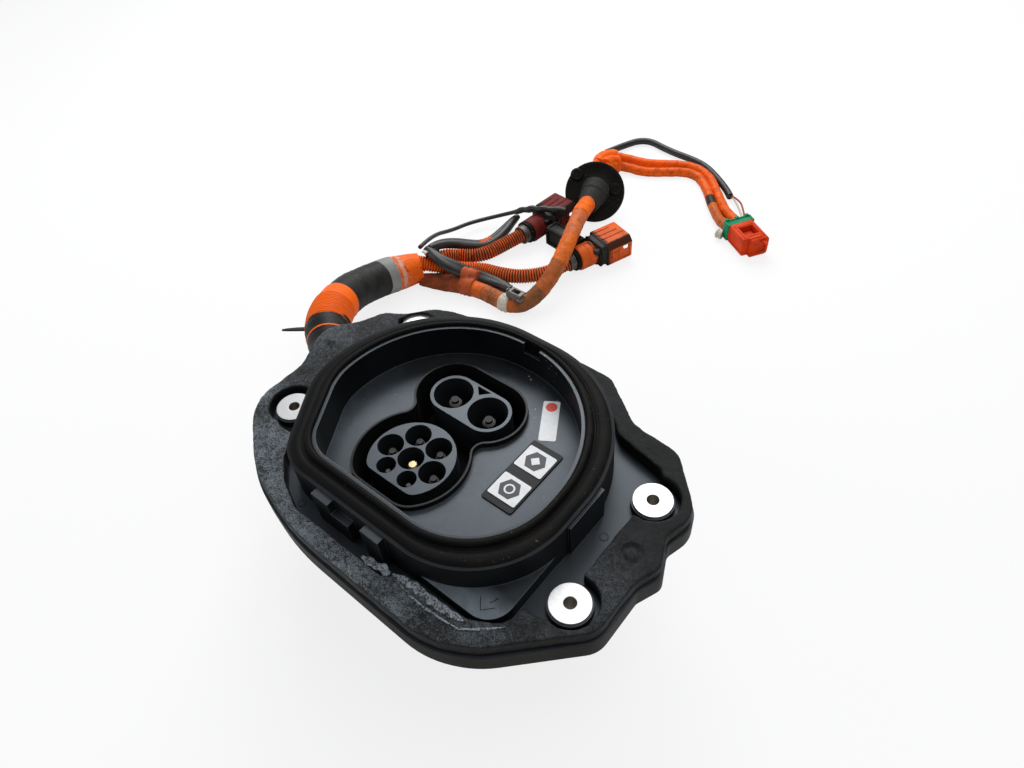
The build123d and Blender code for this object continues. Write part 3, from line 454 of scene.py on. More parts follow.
def paintBands(name, bands, lap, dirt, dirtColour, dirtFrom=0.0, gloss=0.4):
    # cord wound in tape, with a dark line where each turn laps the one before
    paint = Paint(name)
    u, v = paint.along()
    cloud = paint.noise(110, 5, 0.65)
    fine = paint.noise(800, 4, 0.65)
    ragged = u + (paint.noise(260, 3, 0.6) - 0.5) * 0.0012
    phase = paint.maths("FRACT", u / lap + v)
    height = paint.noise(600, 3, 0.6) * 0.3 + phase.spread(0.0, 0.9)
    far = u.spread(dirtFrom - 0.01, dirtFrom + 0.02)
    cover = paint.noise(190, 6, 0.72, twist=0.8).spread(0.46, 0.68) * dirt * far
    colour = paint.blend(paint.banded(bands, cloud, ragged), (0.03, 0.016, 0.01),
                         phase.spread(0.0, 0.06, 1.0, 0.0) * 0.35, dirtColour, cover)
    rough = gloss + cover * 0.3 + fine.spread(0.3, 0.8) * 0.12
    return paint.surface(colour, rough, bumps=[(height, 0.0004, 0.45), (fine, 0.00012, 0.3)], fixed=matt)


paints = {
    "housing": paintHousing(),
    "shell": paintMoulded("shellPlastic", (0.003, 0.0035, 0.004), (0.008, 0.009, 0.011), 0.34, 0.3,
                          0.0003, dull, 0.5),
    "island": paintMoulded("islandPlastic", (0.012, 0.014, 0.017), (0.05, 0.06, 0.07), 0.34, 0.5,
                           0.0003, satin, 0.1),
    "rear": paintMoulded("rearPlastic", (0.006, 0.006, 0.007), (0.014, 0.014, 0.015), 0.45),
    "bracket": paintMoulded("bracketPlastic", (0.004, 0.0035, 0.003), (0.014, 0.011, 0.009), 0.5, 0.3, fixed=dull),
    "foam": paintFoam(),
    "seal": paintRubber("sealRubber", amount=0.06),
    "grommet": paintRubber("grommetRubber", (0.006, 0.005, 0.0044), (0.03, 0.026, 0.022), 0.5, 0.5),
    "neck": paintRubber("neckRubber", (0.026, 0.026, 0.025), (0.055, 0.052, 0.046), 0.8, 0.6),
    "aluminium": paintSleeves(),
    "steel": paintMetal("zincSteel", (0.4, 0.39, 0.37), 0.42, 0.7),
    "silver": paintMoulded("pinPlating", (0.1, 0.1, 0.096), (0.18, 0.18, 0.17), 0.4, 0.2, 0.0002, dull, 0.03),
    "clip": paintMetal("clipSteel", (0.16, 0.15, 0.14), 0.5, 1.0),
    "brass": paintMetal("brassTip", (0.72, 0.55, 0.32), 0.32, 0.05),
    "cap": paintMoulded("touchCapPlastic", (0.055, 0.055, 0.053), (0.085, 0.085, 0.082), 0.5, 0.3,
                        0.0002, matt, 0.05),
    "labelPad": paintMoulded("labelPlastic", (0.006, 0.007, 0.008), (0.013, 0.014, 0.015), 0.45, 0.1, fixed=dull),
    "white": paintPrint("whiteFilm", (0.8, 0.81, 0.83)),
    "ink": paintPrint("greyInk", (0.035, 0.038, 0.045), 0.4),
    "redInk": paintPrint("redInk", (0.72, 0.06, 0.045), 0.4),
    "orange": paintDusty("orangePlastic", (0.8, 0.125, 0.012), (0.52, 0.09, 0.018), (0.16, 0.07, 0.04),
                         marks=(-0.0976, 0.28, 70.7)),
    "red": paintDusty("redPlastic", (0.17, 0.016, 0.013), (0.1, 0.011, 0.01), (0.17, 0.055, 0.042), 0.5, 0.55,
                      (-0.157, 0.288, 84.0)),
    "wireRed": paintPrint("wireRed", (0.35, 0.03, 0.02)),
    "plugOrange": paintDusty("plugPlastic", (0.8, 0.06, 0.003), (0.6, 0.038, 0.002), (0.3, 0.02, 0.006),
                             0.35, 0.45),
    "plugShade": paintDusty("plugInsideShade", (0.36, 0.012, 0.006), (0.28, 0.01, 0.005), (0.3, 0.02, 0.01), 0.1, 0.4),
    "green": paintDusty("greenPlastic", (0.008, 0.27, 0.125), (0.006, 0.21, 0.095), (0.05, 0.12, 0.08), 0.2, 0.4),
    "ivory": paintDusty("ivoryPlastic", (0.62, 0.59, 0.5), (0.52, 0.49, 0.41), (0.25, 0.2, 0.15), 0.2, 0.4),
    "film": paintFilm(),
}
print("paints mixed")


def take(*pieces):
    bpy.ops.object.select_all(action="DESELECT")
    for piece in pieces:
        piece.select_set(True)
    bpy.context.view_layer.objects.active = pieces[0]


def edit(piece, chosen, action, mode="FACE"):
    # chosen says of each face, edge or vertex whether the action works on it
    take(piece)
    bpy.ops.object.mode_set(mode="EDIT")
    bpy.ops.mesh.select_mode(type=mode)
    bpy.ops.mesh.select_all(action="DESELECT")
    shape = bmesh.from_edit_mesh(piece.data)
    for item in {"FACE": shape.faces, "EDGE": shape.edges, "VERT": shape.verts}[mode]:
        if chosen(item):
            item.select_set(True)
    bmesh.update_edit_mesh(piece.data)
    action()
    bpy.ops.object.mode_set(mode="OBJECT")


def extrude(x=0.0, y=0.0, z=0.0):
    bpy.ops.mesh.extrude_region_move(TRANSFORM_OT_translate={"value": (x, y, z)})


def facing(axis, sign=1.0, beyond=-1.0):
    # picks faces that look along an axis, and whose middle lies beyond a distance that way
    return lambda face: face.normal[axis] * sign >= 0.9 and face.calc_center_median()[axis] * sign >= beyond


def everything(item):
    return True


def alongX(edge):
    return abs((edge.verts[0].co - edge.verts[1].co).normalized().x) > 0.9


def panel(margin, **move):
    # insets the chosen faces and moves the panel inside
    return lambda: (bpy.ops.mesh.inset(thickness=margin), extrude(**move))


def rounded(offset, segments):
    return lambda: bpy.ops.mesh.bevel(offset=offset, segments=segments, affect="EDGES")


def apply(piece, kind, **settings):
    take(piece)
    modifier = piece.modifiers.new(kind, kind)
    for key, value in settings.items():
        setattr(modifier, key, value)
    bpy.ops.object.modifier_apply(modifier=modifier.name)


def fresh(add, name, **settings):
    # adds a primitive, with nothing else selected
    bpy.ops.object.select_all(action="DESELECT")
    add(**settings)
    bpy.context.object.name = name
    return bpy.context.object


def block(name, low, high, soft=0.0):
    piece = fresh(bpy.ops.mesh.primitive_cube_add, name, size=1, location=(Vector(low) + Vector(high)) / 2)
    piece.scale = Vector(high) - Vector(low)
    bpy.ops.object.transform_apply(location=True, rotation=True, scale=True)
    if soft:
        soften(piece, soft)
    return piece


def turned(name, rings, sides=48):
    # a turned piece along Z: each ring is a height and a radius
    height, radius = rings[0]
    piece = fresh(bpy.ops.mesh.primitive_circle_add, name, vertices=sides, radius=radius, fill_type="NGON",
                  location=(0, 0, height))
    bpy.ops.object.transform_apply(location=True, rotation=True, scale=True)
    bpy.ops.object.mode_set(mode="EDIT")
    bpy.ops.mesh.select_all(action="SELECT")
    for nextHeight, nextRadius in rings[1:]:
        extrude(z=nextHeight - height)
        share = nextRadius / radius
        bpy.ops.transform.resize(value=(share, share, 1.0), center_override=(0, 0, nextHeight))
        height, radius = nextHeight, nextRadius
    bpy.ops.mesh.select_all(action="SELECT")
    bpy.ops.mesh.normals_make_consistent(inside=False)
    bpy.ops.object.mode_set(mode="OBJECT")
    return piece


def spun(name, profile, steps=48):
    # a ring around Z: the profile is a closed line of radius and height
    piece = fresh(bpy.ops.mesh.primitive_circle_add, name, vertices=len(profile), radius=0.01, fill_type="NOTHING")
    for vertex, (radius, height) in zip(piece.data.vertices, profile):
        vertex.co = (radius, 0.0, height)
    bpy.ops.object.mode_set(mode="EDIT")
    bpy.ops.mesh.select_all(action="SELECT")
    bpy.ops.mesh.spin(steps=steps, angle=fullTurn, center=(0, 0, 0), axis=(0, 0, 1))
    bpy.ops.mesh.select_all(action="SELECT")
    bpy.ops.mesh.remove_doubles(threshold=0.000001)
    bpy.ops.mesh.normals_make_consistent(inside=False)
    bpy.ops.object.mode_set(mode="OBJECT")
    return piece


def place(piece, matrix):
    piece.data.transform(matrix)
    piece.data.update()
    return piece


def join(name, *pieces):
    take(*pieces)
    bpy.ops.object.join()
    pieces[0].name = name
    return pieces[0]


def cutOut(piece, cutter):
    apply(piece, "BOOLEAN", object=cutter, operation="DIFFERENCE", solver="EXACT")
    bpy.data.objects.remove(cutter)


def soften(piece, width, segments=2, angle=30):
    apply(piece, "BEVEL", width=width, segments=segments, limit_method="ANGLE", angle_limit=math.radians(angle))


def dress(piece, paint, node=None, angle=35, at=None):
    # sets a piece in its place and paints it; it stands for its CAD node, if one is named
    if at:
        place(piece, at)
    piece.data.materials.clear()
    piece.data.materials.append(paints[paint] if isinstance(paint, str) else paint)
    take(piece)
    bpy.ops.object.shade_smooth_by_angle(angle=math.radians(angle))
    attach(piece, "port")
    if node:
        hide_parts(node)
    return piece


zToX = Matrix.Rotation(math.radians(90), 4, "Y")

# control points in mm
routes = {
    "trunk": (
        (-92, 26, 50), (-125.1, 42.5, 50), (-157, 61, 48.5), (-186, 86, 44), (-204.5, 116, 34), (-213.5, 148, 22.5),
        (-212.5, 176, 16), (-201, 195.5, 15),
    ),
    "redConduit": (
        (-210.2, 199.8, 8), (-200, 221.5, 11), (-190.5, 233.5, 8), (-179.5, 241, 7), (-171.5, 251, 7),
        (-167.3, 263, 8), (-162.5, 276, 9.5), (-157, 288, 12),
    ),
    "orangeConduit": (
        (-202, 195, 20), (-189, 202.5, 18), (-178, 211, 14), (-169.5, 221, 10), (-160.5, 231.5, 7),
        (-143.5, 235, 7), (-127, 241.5, 7), (-112.5, 253.5, 7.5), (-102, 267, 9.5), (-97.6, 280, 12),
    ),
    "feed": (
        (-195.5, 189.5, 7.5), (-177, 196.5, 7.5), (-158, 204.5, 7.5), (-139, 208.8, 7.5), (-121, 208, 7.5),
        (-105, 209, 7.5), (-95.5, 219, 9.5), (-91.5, 236, 16.5), (-92.5, 256, 25), (-99, 278, 30),
        (-107.5, 300, 31), (-116.5, 321, 29), (-122.5, 337, 25.8), (-126.3, 349.5, 23.7),
    ),
    "thinLead": (
        (-205, 203, 30.5), (-215.2, 228, 24), (-217.5, 255, 12), (-216.5, 278.1, 7), (-204.5, 296.9, 7),
        (-186.9, 307.7, 13), (-169, 311.7, 22), (-149.6, 314.8, 27), (-134.6, 324.1, 26),
    ),
    "upperSleeve": (
        (-204.5, 210.5, 23.5), (-205.5, 224.5, 20), (-200.5, 240, 14), (-189, 251, 9), (-181.5, 260.5, 6),
        (-179.3, 273.2, 6), (-181.4, 291.1, 6), (-183.3, 304.6, 7), (-182, 311.7, 9),
    ),
    "lowerSleeve": (
        (-198, 204, 31.5), (-188, 202, 30), (-176.5, 202, 27), (-167, 206.5, 22), (-159, 213, 15.5),
        (-150, 221, 8.5), (-138, 225.5, 5.5), (-127, 226, 5.5), (-116, 223, 7),
    ),
    "outerCable": (
        (-137, 368, 21.5), (-148, 386, 21), (-159, 404, 18), (-168, 421, 14.5), (-173.5, 438, 11),
        (-169.5, 453, 6.5), (-155, 460, 4), (-134, 462.5, 3.8), (-116, 472, 3.8), (-99, 481.5, 3.8),
        (-82, 482, 3.8), (-66, 474, 3.8), (-50.4, 457.7, 3.8), (-34, 438.8, 5), (-17.1, 421.2, 8), (1.3, 413.6, 9),
    ),
    "innerCable": (
        (-130.5, 372, 21.5), (-141.5, 390.5, 20.5), (-151, 408, 17), (-157.5, 423, 12.5), (-156, 436, 8),
        (-146.3, 445.4, 4.5), (-129.2, 447.4, 3.8), (-112.9, 456.5, 3.8), (-95.4, 469.4, 3.8), (-80.7, 471.6, 3.8),
        (-67.1, 463.3, 3.8), (-53.2, 448.2, 3.8), (-40.8, 433.3, 3.8), (-27.9, 419.2, 5), (-16.2, 407.9, 7),
        (-4.8, 404.2, 9),
    ),
    "signalTube": (
        (-176.4, 453, 8), (-175.5, 468, 5), (-171.6, 483.6, 3.6), (-164.8, 497.4, 3.6), (-152.6, 502.8, 3.6),
        (-137.1, 498.9, 3.6), (-117.4, 495.9, 3.6), (-98.5, 495, 3.6), (-80.9, 491.2, 3.6), (-61.8, 479.4, 3.6),
        (-41.2, 463.7, 3.6), (-34.6, 456.5, 3.6),
    ),
}


def lineMesh(name, points, resolution, radius=0.0):
    # mesh of a NURBS line with these control points, as thick as the radius says
    data = bpy.data.curves.new(name, "CURVE")
    data.dimensions = "3D"
    data.bevel_depth = radius
    data.bevel_resolution = 3
    data.use_fill_caps = True
    data.resolution_u = resolution
    spline = data.splines.new("NURBS")
    spline.points.add(len(points) - 1)
    for point, spot in zip(spline.points, points):
        point.co = (*spot, 1.0)
    spline.use_endpoint_u = True
    spline.order_u = 3
    holder = bpy.data.objects.new(name + "Line", data)
    mesh = bpy.data.meshes.new_from_object(holder)
    mesh.name = name
    bpy.data.objects.remove(holder)
    return mesh


class Track:
    # the smooth line of a cord, read from a spline that has the route as its control points
    def __init__(self, name):
        points = [[part / 1000 for part in spot] for spot in routes[name]]
        self.line = [vertex.co.copy() for vertex in lineMesh(name + "Line", points, 12).vertices]
        self.far = [0.0]
        for before, after in zip(self.line, self.line[1:]):
            self.far.append(self.far[-1] + (after - before).length)
        self.length = self.far[-1]

    def at(self, distance):
        distance = min(max(distance, 0.0), self.length)
        index = 1
        while index < len(self.far) - 1 and self.far[index] < distance:
            index += 1
        share = (distance - self.far[index - 1]) / max(self.far[index] - self.far[index - 1], 1e-9)
        return self.line[index - 1].lerp(self.line[index], share)

    def heading(self, distance):
        return (self.at(distance + 0.002) - self.at(distance - 0.002)).normalized()


tracks = {name: Track(name) for name in routes}
print("cord lines", {name: round(track.length, 4) for name, track in tracks.items()})


def ringMesh(name, verts, around):
    # joins rings of points, each as many as around says, into a closed tube
    rows = len(verts) // around - 1
    faces = []
    for row in range(rows):
        near, far = row * around, (row + 1) * around
        for step in range(around):
            after = (step + 1) % around
            faces.append((near + step, near + after, far + after, far + step))
    faces += [tuple(reversed(range(around))), tuple(range(rows * around, (rows + 1) * around))]
    mesh = bpy.data.meshes.new(name)
    mesh.from_pydata([tuple(vert) for vert in verts], [], faces)
    return addObject(name, mesh)


def sleeve(name, track, distances, radiusAt, around=32, crestAt=None):
    # a tube whose radius depends on the distance along the track and the turn around it
    verts = []
    crests = []
    side = None
    for distance in distances:
        heading = track.heading(distance)
        side = Vector((0, 0, 1)).cross(heading) if side is None else side - heading * side.dot(heading)
        side.normalize()
        up = heading.cross(side)
        middle = track.at(distance)
        for step in range(around):
            angle = fullTurn * step / around
            reach = radiusAt(distance, step / around)
            verts.append(middle + (side * math.cos(angle) + up * math.sin(angle)) * reach)
            crests.append(crestAt(distance) if crestAt else 1.0)
    places = []
    for near, far in zip(distances, distances[1:]):
        for step in range(around):
            low, high = step / around, (step + 1) / around
            places += [(near, low), (near, high), (far, high), (far, low)]
    turns = [step / around for step in range(around)]
    places += [(distances[0], turn) for turn in reversed(turns)] + [(distances[-1], turn) for turn in turns]
    piece = ringMesh(name, verts, around)
    layer = piece.data.uv_layers.new(name="along")
    for loop, spot in zip(layer.data, places):
        loop.uv = spot
    attribute = piece.data.attributes.new("crest", "FLOAT", "POINT")
    attribute.data.foreach_set("value", crests)
    return piece


def steps(length, pitch):
    count = max(2, round(length / pitch))
    return [length * index / count for index in range(count + 1)]


def layCord(key, radiusAt, paint, node, pitch, around, slot="orange_cable", name=None, crestAt=None):
    track = tracks[key]
    piece = sleeve(name or key, track, steps(track.length, pitch), radiusAt, around, crestAt)
    return dress(piece, paint, node, 60)


# trunk: black tape, ribbed tape, smooth band, black tape, grey band and scuffed tape, then a taper
tapeEnd, ribbedStart, smoothEnd, blackEnd, greyEnd = 0.0795, 0.095, 0.139, 0.1955, 0.2085
trunkShape = {
    "radius": 0.0157,
    "bands": [
        (tapeEnd, (0.012, 0.012, 0.012), (0.024, 0.024, 0.023)),
        (0.081, (0.9, 0.13, 0.005), (0.8, 0.11, 0.005)),
        (ribbedStart, (0.012, 0.012, 0.012), (0.028, 0.028, 0.027)),
        (smoothEnd, (0.97, 0.15, 0.006), (0.86, 0.118, 0.004)),
        (blackEnd, (0.017, 0.017, 0.016), (0.036, 0.035, 0.033)),
        (greyEnd, (0.3, 0.3, 0.285), (0.2, 0.2, 0.19)),
        (0.212, (0.85, 0.13, 0.008), (0.6, 0.09, 0.008)),
        (0.216, (0.7, 0.42, 0.33), (0.8, 0.15, 0.02)),
        (0.3, (0.97, 0.145, 0.006), (0.82, 0.11, 0.006)),
    ],
    "ribs": (ribbedStart, 0.125, 0.00225, 0.001),
    "taper": (0.205, 0.234, 0.0125),
}


def trunkRadius(distance, turnShare):
    low, high, pitch, depth = trunkShape["ribs"]
    angle = fullTurn * turnShare
    reach = trunkShape["radius"]
    if distance < low:
        reach += 0.0006 + 0.0004 * ((distance / 0.007 + turnShare) % 1.0)
    elif distance < high:
        phase = (distance / pitch + 0.25 * math.sin(angle)) % 1.0
        reach += 0.0004 + depth * min(1.0, 2.4 * phase, 2.4 * (1.0 - phase))
    elif distance < smoothEnd:
        reach += 0.0008
    elif distance < blackEnd:
        reach += 0.0003 * ((distance / 0.0075 + turnShare) % 1.0)
    elif distance < greyEnd:
        reach += 0.0004
    # the bend bows outwards
    bow = max(0.0, min(1.0, (distance - 0.07) / 0.02, (0.215 - distance) / 0.05))
    reach += 0.0028 * bow * math.cos(angle - 0.42)
    start, end, least = trunkShape["taper"]
    if distance > start:
        share = min(1.0, (distance - start) / (end - start))
        reach += (least - reach) * share ** 1.6
    spot = (distance / 0.018, math.cos(angle), math.sin(angle))
    return reach + noise.noise(spot) * 0.00045


def paintTrunk():
    paint = Paint("trunkTape")
    u, v = paint.along()
    cloud = paint.noise(90, 5, 0.65)
    fine = paint.noise(900, 4, 0.65)
    ragged = u + (paint.noise(180, 3, 0.6) - 0.5) * 0.0016
    colour = paint.banded(trunkShape["bands"], cloud, ragged)
    scuffed = (u > greyEnd) * paint.noise(340, 5, 0.75, twist=1.0).spread(0.5, 0.62)
    dark = (u > greyEnd) * paint.noise(240, 4, 0.7).spread(0.58, 0.64)
    chalk = (u > smoothEnd) * (u < blackEnd) * paint.noise(210, 6, 0.75, twist=1.4).spread(0.6, 0.72)
    low, high, pitch, depth = trunkShape["ribs"]
    lean = paint.maths("SINE", v * fullTurn) * 0.25
    phase = paint.maths("FRACT", u / pitch + lean)
    ribbed = (u > low) * (u < high)
    # ribbed band: grooves painted darker orange as painted shade, crests painted lighter as painted highlight
    grooveShade = paint.most(phase.spread(0.0, 0.28, 1.0, 0.0), phase.spread(0.72, 1.0))
    crest = paint.maths("ABSOLUTE", phase - 0.5).spread(0.0, 0.2, 1.0, 0.0)
    black = (u < tapeEnd) + (u > smoothEnd) * (u < blackEnd)
    phase = paint.maths("FRACT", u / 0.0075 + v)
    folds = phase.spread(0.0, 0.12, 1.0, 0.0) * black
    colour = paint.blend(
        colour, (0.76, 0.52, 0.43), scuffed * u.spread(0.21, 0.224, 0.8, 0.0),
        (0.05, 0.022, 0.014), dark * 0.7, (0.14, 0.14, 0.13), chalk * 0.6,
        (0.42, 0.045, 0.002), grooveShade * ribbed * 0.9,
        (1.0, 0.33, 0.12), crest * ribbed * cloud.spread(0.4, 0.6) * 0.6, (0.006, 0.006, 0.006), folds * 0.6)
    rough = 0.42 + fine.spread(0.3, 0.8) * 0.12 + chalk * 0.2
    height = fine * 0.35 + phase * black * 0.9
    return paint.surface(colour, rough, bumps=[(height, 0.0004, 0.5)], fixed=matt)


trunk = layCord("trunk", trunkRadius, paintTrunk(), "trunk_cable", 0.0004, 56, name="trunkCable")

conduitShape = {"radius": 0.0065, "depth": 0.0011, "pitch": 0.0023}


def conduitCrest(distance):
    # flat crests and narrow valleys
    phase = (distance / conduitShape["pitch"]) % 1.0
    return min(1.0, max(0.0, 1.9 * abs(2 * phase - 1.0) - 0.25))


def conduitRadius(distance, turnShare):
    return conduitShape["radius"] - conduitShape["depth"] * (1.0 - conduitCrest(distance))


conduitPitch = conduitShape["pitch"] / 6
redPaint = paintConduit("redConduitPlastic", (0.95, 0.125, 0.006), (0.36, 0.085, 0.034), 0.01, 0.04, 0.95)
redConduit = layCord("redConduit", conduitRadius, redPaint, "red_conduit", conduitPitch, 32, crestAt=conduitCrest)
orangePaint = paintConduit("orangeConduitPlastic", (0.95, 0.13, 0.006), (0.62, 0.15, 0.06), 0.03, 0.09, 0.5)
orangeConduit = layCord("orangeConduit", conduitRadius, orangePaint, "orange_conduit", conduitPitch, 32,
                        crestAt=conduitCrest)

feedShape = {
    "radius": 0.0069,
    "lap": 0.011,
    "bands": [
        (0.03, (0.34, 0.07, 0.022), (0.12, 0.034, 0.018)),
        (0.039, (0.42, 0.08, 0.022), (0.16, 0.042, 0.02)),
        (0.062, (0.8, 0.15, 0.02), (0.55, 0.115, 0.025)),
        (0.085, (0.2, 0.08, 0.035), (0.66, 0.14, 0.03)),
        (0.096, (0.66, 0.15, 0.035), (0.4, 0.11, 0.035)),
        (0.12, (0.22, 0.085, 0.034), (0.34, 0.11, 0.038)),
        (0.15, (0.54, 0.125, 0.026), (0.34, 0.095, 0.03)),
        (0.18, (0.86, 0.165, 0.016), (0.6, 0.13, 0.024)),
        (0.218, (0.76, 0.155, 0.03), (0.46, 0.13, 0.045)),
        (0.3, (1.0, 0.165, 0.008), (0.9, 0.14, 0.006)),
    ],
}


def feedRadius(distance, turnShare):
    reach = feedShape["radius"] + 0.00035 * ((distance / feedShape["lap"] + turnShare) % 1.0)
    if distance > 0.218:
        reach = feedShape["radius"] + 0.0009
    angle = fullTurn * turnShare
    if distance < 0.055:
        near = min(distance / 0.018, 1.0, (0.055 - distance) / 0.02)
        reach += 0.0022 * max(0.0, math.cos(angle)) * near - 0.0016 * max(0.0, 1.0 - distance / 0.018)
    return reach + noise.noise((distance / 0.012, math.cos(angle), math.sin(angle))) * 0.0003


feedPaint = paintBands("feedTape", feedShape["bands"], feedShape["lap"], 0.5, (0.075, 0.032, 0.014))
feed = layCord("feed", feedRadius, feedPaint, "feed_cable", 0.0008, 40, name="feedCable")


cableShape = {
    "radius": 0.0045, "lap": 0.012, "orange": ((0.88, 0.12, 0.004), (0.74, 0.095, 0.003)),
    "black": ((0.014, 0.014, 0.014), (0.026, 0.026, 0.026)), "worn": ((0.62, 0.12, 0.015), (0.46, 0.1, 0.02)),
    "dirt": (0.1, 0.035, 0.012),
}


def cableRadius(distance, turnShare):
    angle = fullTurn * turnShare
    spot = (distance / 0.008, math.cos(angle), math.sin(angle))
    lapped = 0.00018 * ((distance / cableShape["lap"] + turnShare) % 1.0)
    return cableShape["radius"] + lapped + noise.noise(spot) * 0.00022


outerBands = [(0.4, *cableShape["orange"])]
outerPaint = paintBands("outerCableTape", outerBands, cableShape["lap"], 0.5, cableShape["dirt"], 0.16, 0.3)
outerCable = layCord("outerCable", cableRadius, outerPaint, "outer_ac_cable", 0.0012, 28)
innerBands = [(0.199, *cableShape["orange"]), (0.2125, *cableShape["black"]), (0.4, *cableShape["worn"])]
innerPaint = paintBands("innerCableTape", innerBands, cableShape["lap"], 0.65, cableShape["dirt"], 0.06, 0.3)
innerCable = layCord("innerCable", cableRadius, innerPaint, "inner_ac_cable", 0.0012, 28)


def paintSleeving(name, dark, pale, roughness, pitch=0.0, dust=0.35):
    # black sleeving with fine rings or weave and a little chalky dust
    paint = Paint(name)
    u, v = paint.along()
    cloud = paint.noise(140, 5, 0.65)
    fine = paint.noise(1100, 4, 0.65)
    chalk = paint.noise(300, 6, 0.75, twist=1.0).spread(0.55, 0.72) * dust
    colour = paint.blend(dark, pale, cloud.spread(0.35, 0.72), (0.16, 0.15, 0.135), chalk)
    height = fine
    if pitch:
        ring = paint.maths("SINE", u * (fullTurn / pitch))
        height = fine * 0.3 + ring * 0.5
    return paint.surface(colour, roughness + chalk * 0.3, bumps=[(height, 0.00025, 0.4)])


def leadRadius(distance, turnShare):
    # the lead is wrapped in bunched tape over its last third
    if distance < 0.125:
        return 0.0019
    share = min(1.0, (distance - 0.125) / 0.012)
    return 0.0019 + share * (0.0011 + 0.0005 * math.sin(distance / 0.0021 + 3 * turnShare))


def flatSleeve(length, wide, thin, ends):
    # a soft sleeve that lies flattened, and narrows to its ends
    def radiusAt(distance, turnShare):
        share = math.sin(math.pi * min(1.0, max(0.0, distance / length)))
        half = ends + (wide - ends) * share ** 0.6
        angle = fullTurn * turnShare
        across = abs(math.cos(angle))
        return half * across + min(half, thin) * (1.0 - across)
    return radiusAt


leadPaint = paintSleeving("leadSheath", (0.004, 0.004, 0.004), (0.014, 0.013, 0.012), 0.36, 0.0011)
clothPaint = paintSleeving("clothSleeve", (0.01, 0.01, 0.01), (0.028, 0.027, 0.025), 0.42)
tubePaint = paintSleeving("ribbedTube", (0.003, 0.003, 0.003), (0.01, 0.01, 0.01), 0.42, 0.0016, 0.15)
sleeving = (0.0012, 24, "black_sleeve")
upperShape = flatSleeve(0.112, 0.0066, 0.0038, 0.0022)
lowerShape = flatSleeve(0.095, 0.0068, 0.0042, 0.0026)
thinLead = layCord("thinLead", leadRadius, leadPaint, "thin_lead", 0.0012, 20, "black_sleeve")
upperSleeve = layCord("upperSleeve", upperShape, clothPaint, "upper_lead_sleeve", *sleeving)
lowerSleeve = layCord("lowerSleeve", lowerShape, clothPaint, "lower_lead_sleeve", *sleeving)
signalTube = layCord("signalTube", lambda distance, turnShare: 0.0034, tubePaint, "signal_tube", *sleeving)
print("cords laid")


def wrapped(name, spots, width, thickness, radii, rows=10, around=40):
    # tape pulled round one cord or several: the outer line of their sections at each row
    first = next(iter(spots))
    verts = []
    for row in range(rows + 1):
        shift = width * (row / rows - 0.5)
        base = tracks[first].at(spots[first] + shift)
        heading = tracks[first].heading(spots[first] + shift)
        side = Vector((0, 0, 1)).cross(heading).normalized()
        up = heading.cross(side)
        discs = []
        for (cord, far), radius in zip(spots.items(), radii):
            offset = tracks[cord].at(far + shift) - base
            discs.append((offset.dot(side), offset.dot(up), radius))
        cx = sum(disc[0] for disc in discs) / len(discs)
        cy = sum(disc[1] for disc in discs) / len(discs)
        for step in range(around):
            angle = fullTurn * step / around
            reach = max((x - cx) * math.cos(angle) + (y - cy) * math.sin(angle) + r for x, y, r in discs)
            ripple = noise.noise((row * 0.7, math.cos(angle) * 2, math.sin(angle) * 2)) * 0.0007
            ripple += 0.0003 * ((row * 3 / rows + step / around) % 1.0)
            edge = 0.0 if 0 < row < rows else -0.0006
            far = reach + thickness + ripple + edge
            verts.append(base + side * (cx + far * math.cos(angle)) + up * (cy + far * math.sin(angle)))
    return ringMesh(name, verts, around)


tapes = {
    "bundleTape": {
        "spots": {"feed": 0.045, "lowerSleeve": 0.046}, "radii": (0.007, 0.0044),
        "width": 0.012, "thickness": 0.0004, "paint": "bundleTape",
    },
    "sleevePatch": {
        "spots": {"upperSleeve": 0.062}, "radii": (0.005,),
        "width": 0.015, "thickness": 0.0004, "paint": "bundleTape",
    },
    "feedBand": {
        "spots": {"feed": 0.086}, "radii": (0.007,), "width": 0.0085, "thickness": 0.0007, "paint": "paleTape",
    },
    "loopTape": {
        "spots": {"outerCable": 0.08, "innerCable": 0.056}, "radii": (0.0042, 0.0042), "width": 0.036,
        "thickness": 0.0006, "paint": "loopTape",
    },
    "leadKnot": {
        "spots": {"lowerSleeve": 0.002, "upperSleeve": 0.001, "thinLead": 0.004}, "radii": (0.0026, 0.0022, 0.0016),
        "width": 0.004, "thickness": 0.0003, "paint": "bracket",
    },
}
paints["bundleTape"] = paintDusty("bundleTape", (0.62, 0.12, 0.035), (0.3, 0.065, 0.028), (0.06, 0.024, 0.014), 0.9)
paints["paleTape"] = paintDusty("paleTape", (0.74, 0.68, 0.58), (0.58, 0.5, 0.41), (0.14, 0.1, 0.07), 0.7)
paints["loopTape"] = paintDusty("loopTape", (0.92, 0.135, 0.005), (0.8, 0.105, 0.004), (0.5, 0.08, 0.02), 0.2, 0.4)
wraps = {}
for name, tape in tapes.items():
    wraps[name] = wrapped(name, tape["spots"], tape["width"], tape["thickness"], tape["radii"])
    dress(wraps[name], tape["paint"], angle=50)


def thread(name, points, radius, paint, slot):
    # a short round strand through a few points
    return dress(addObject(name, lineMesh(name, points, 8, radius)), paint, angle=60)


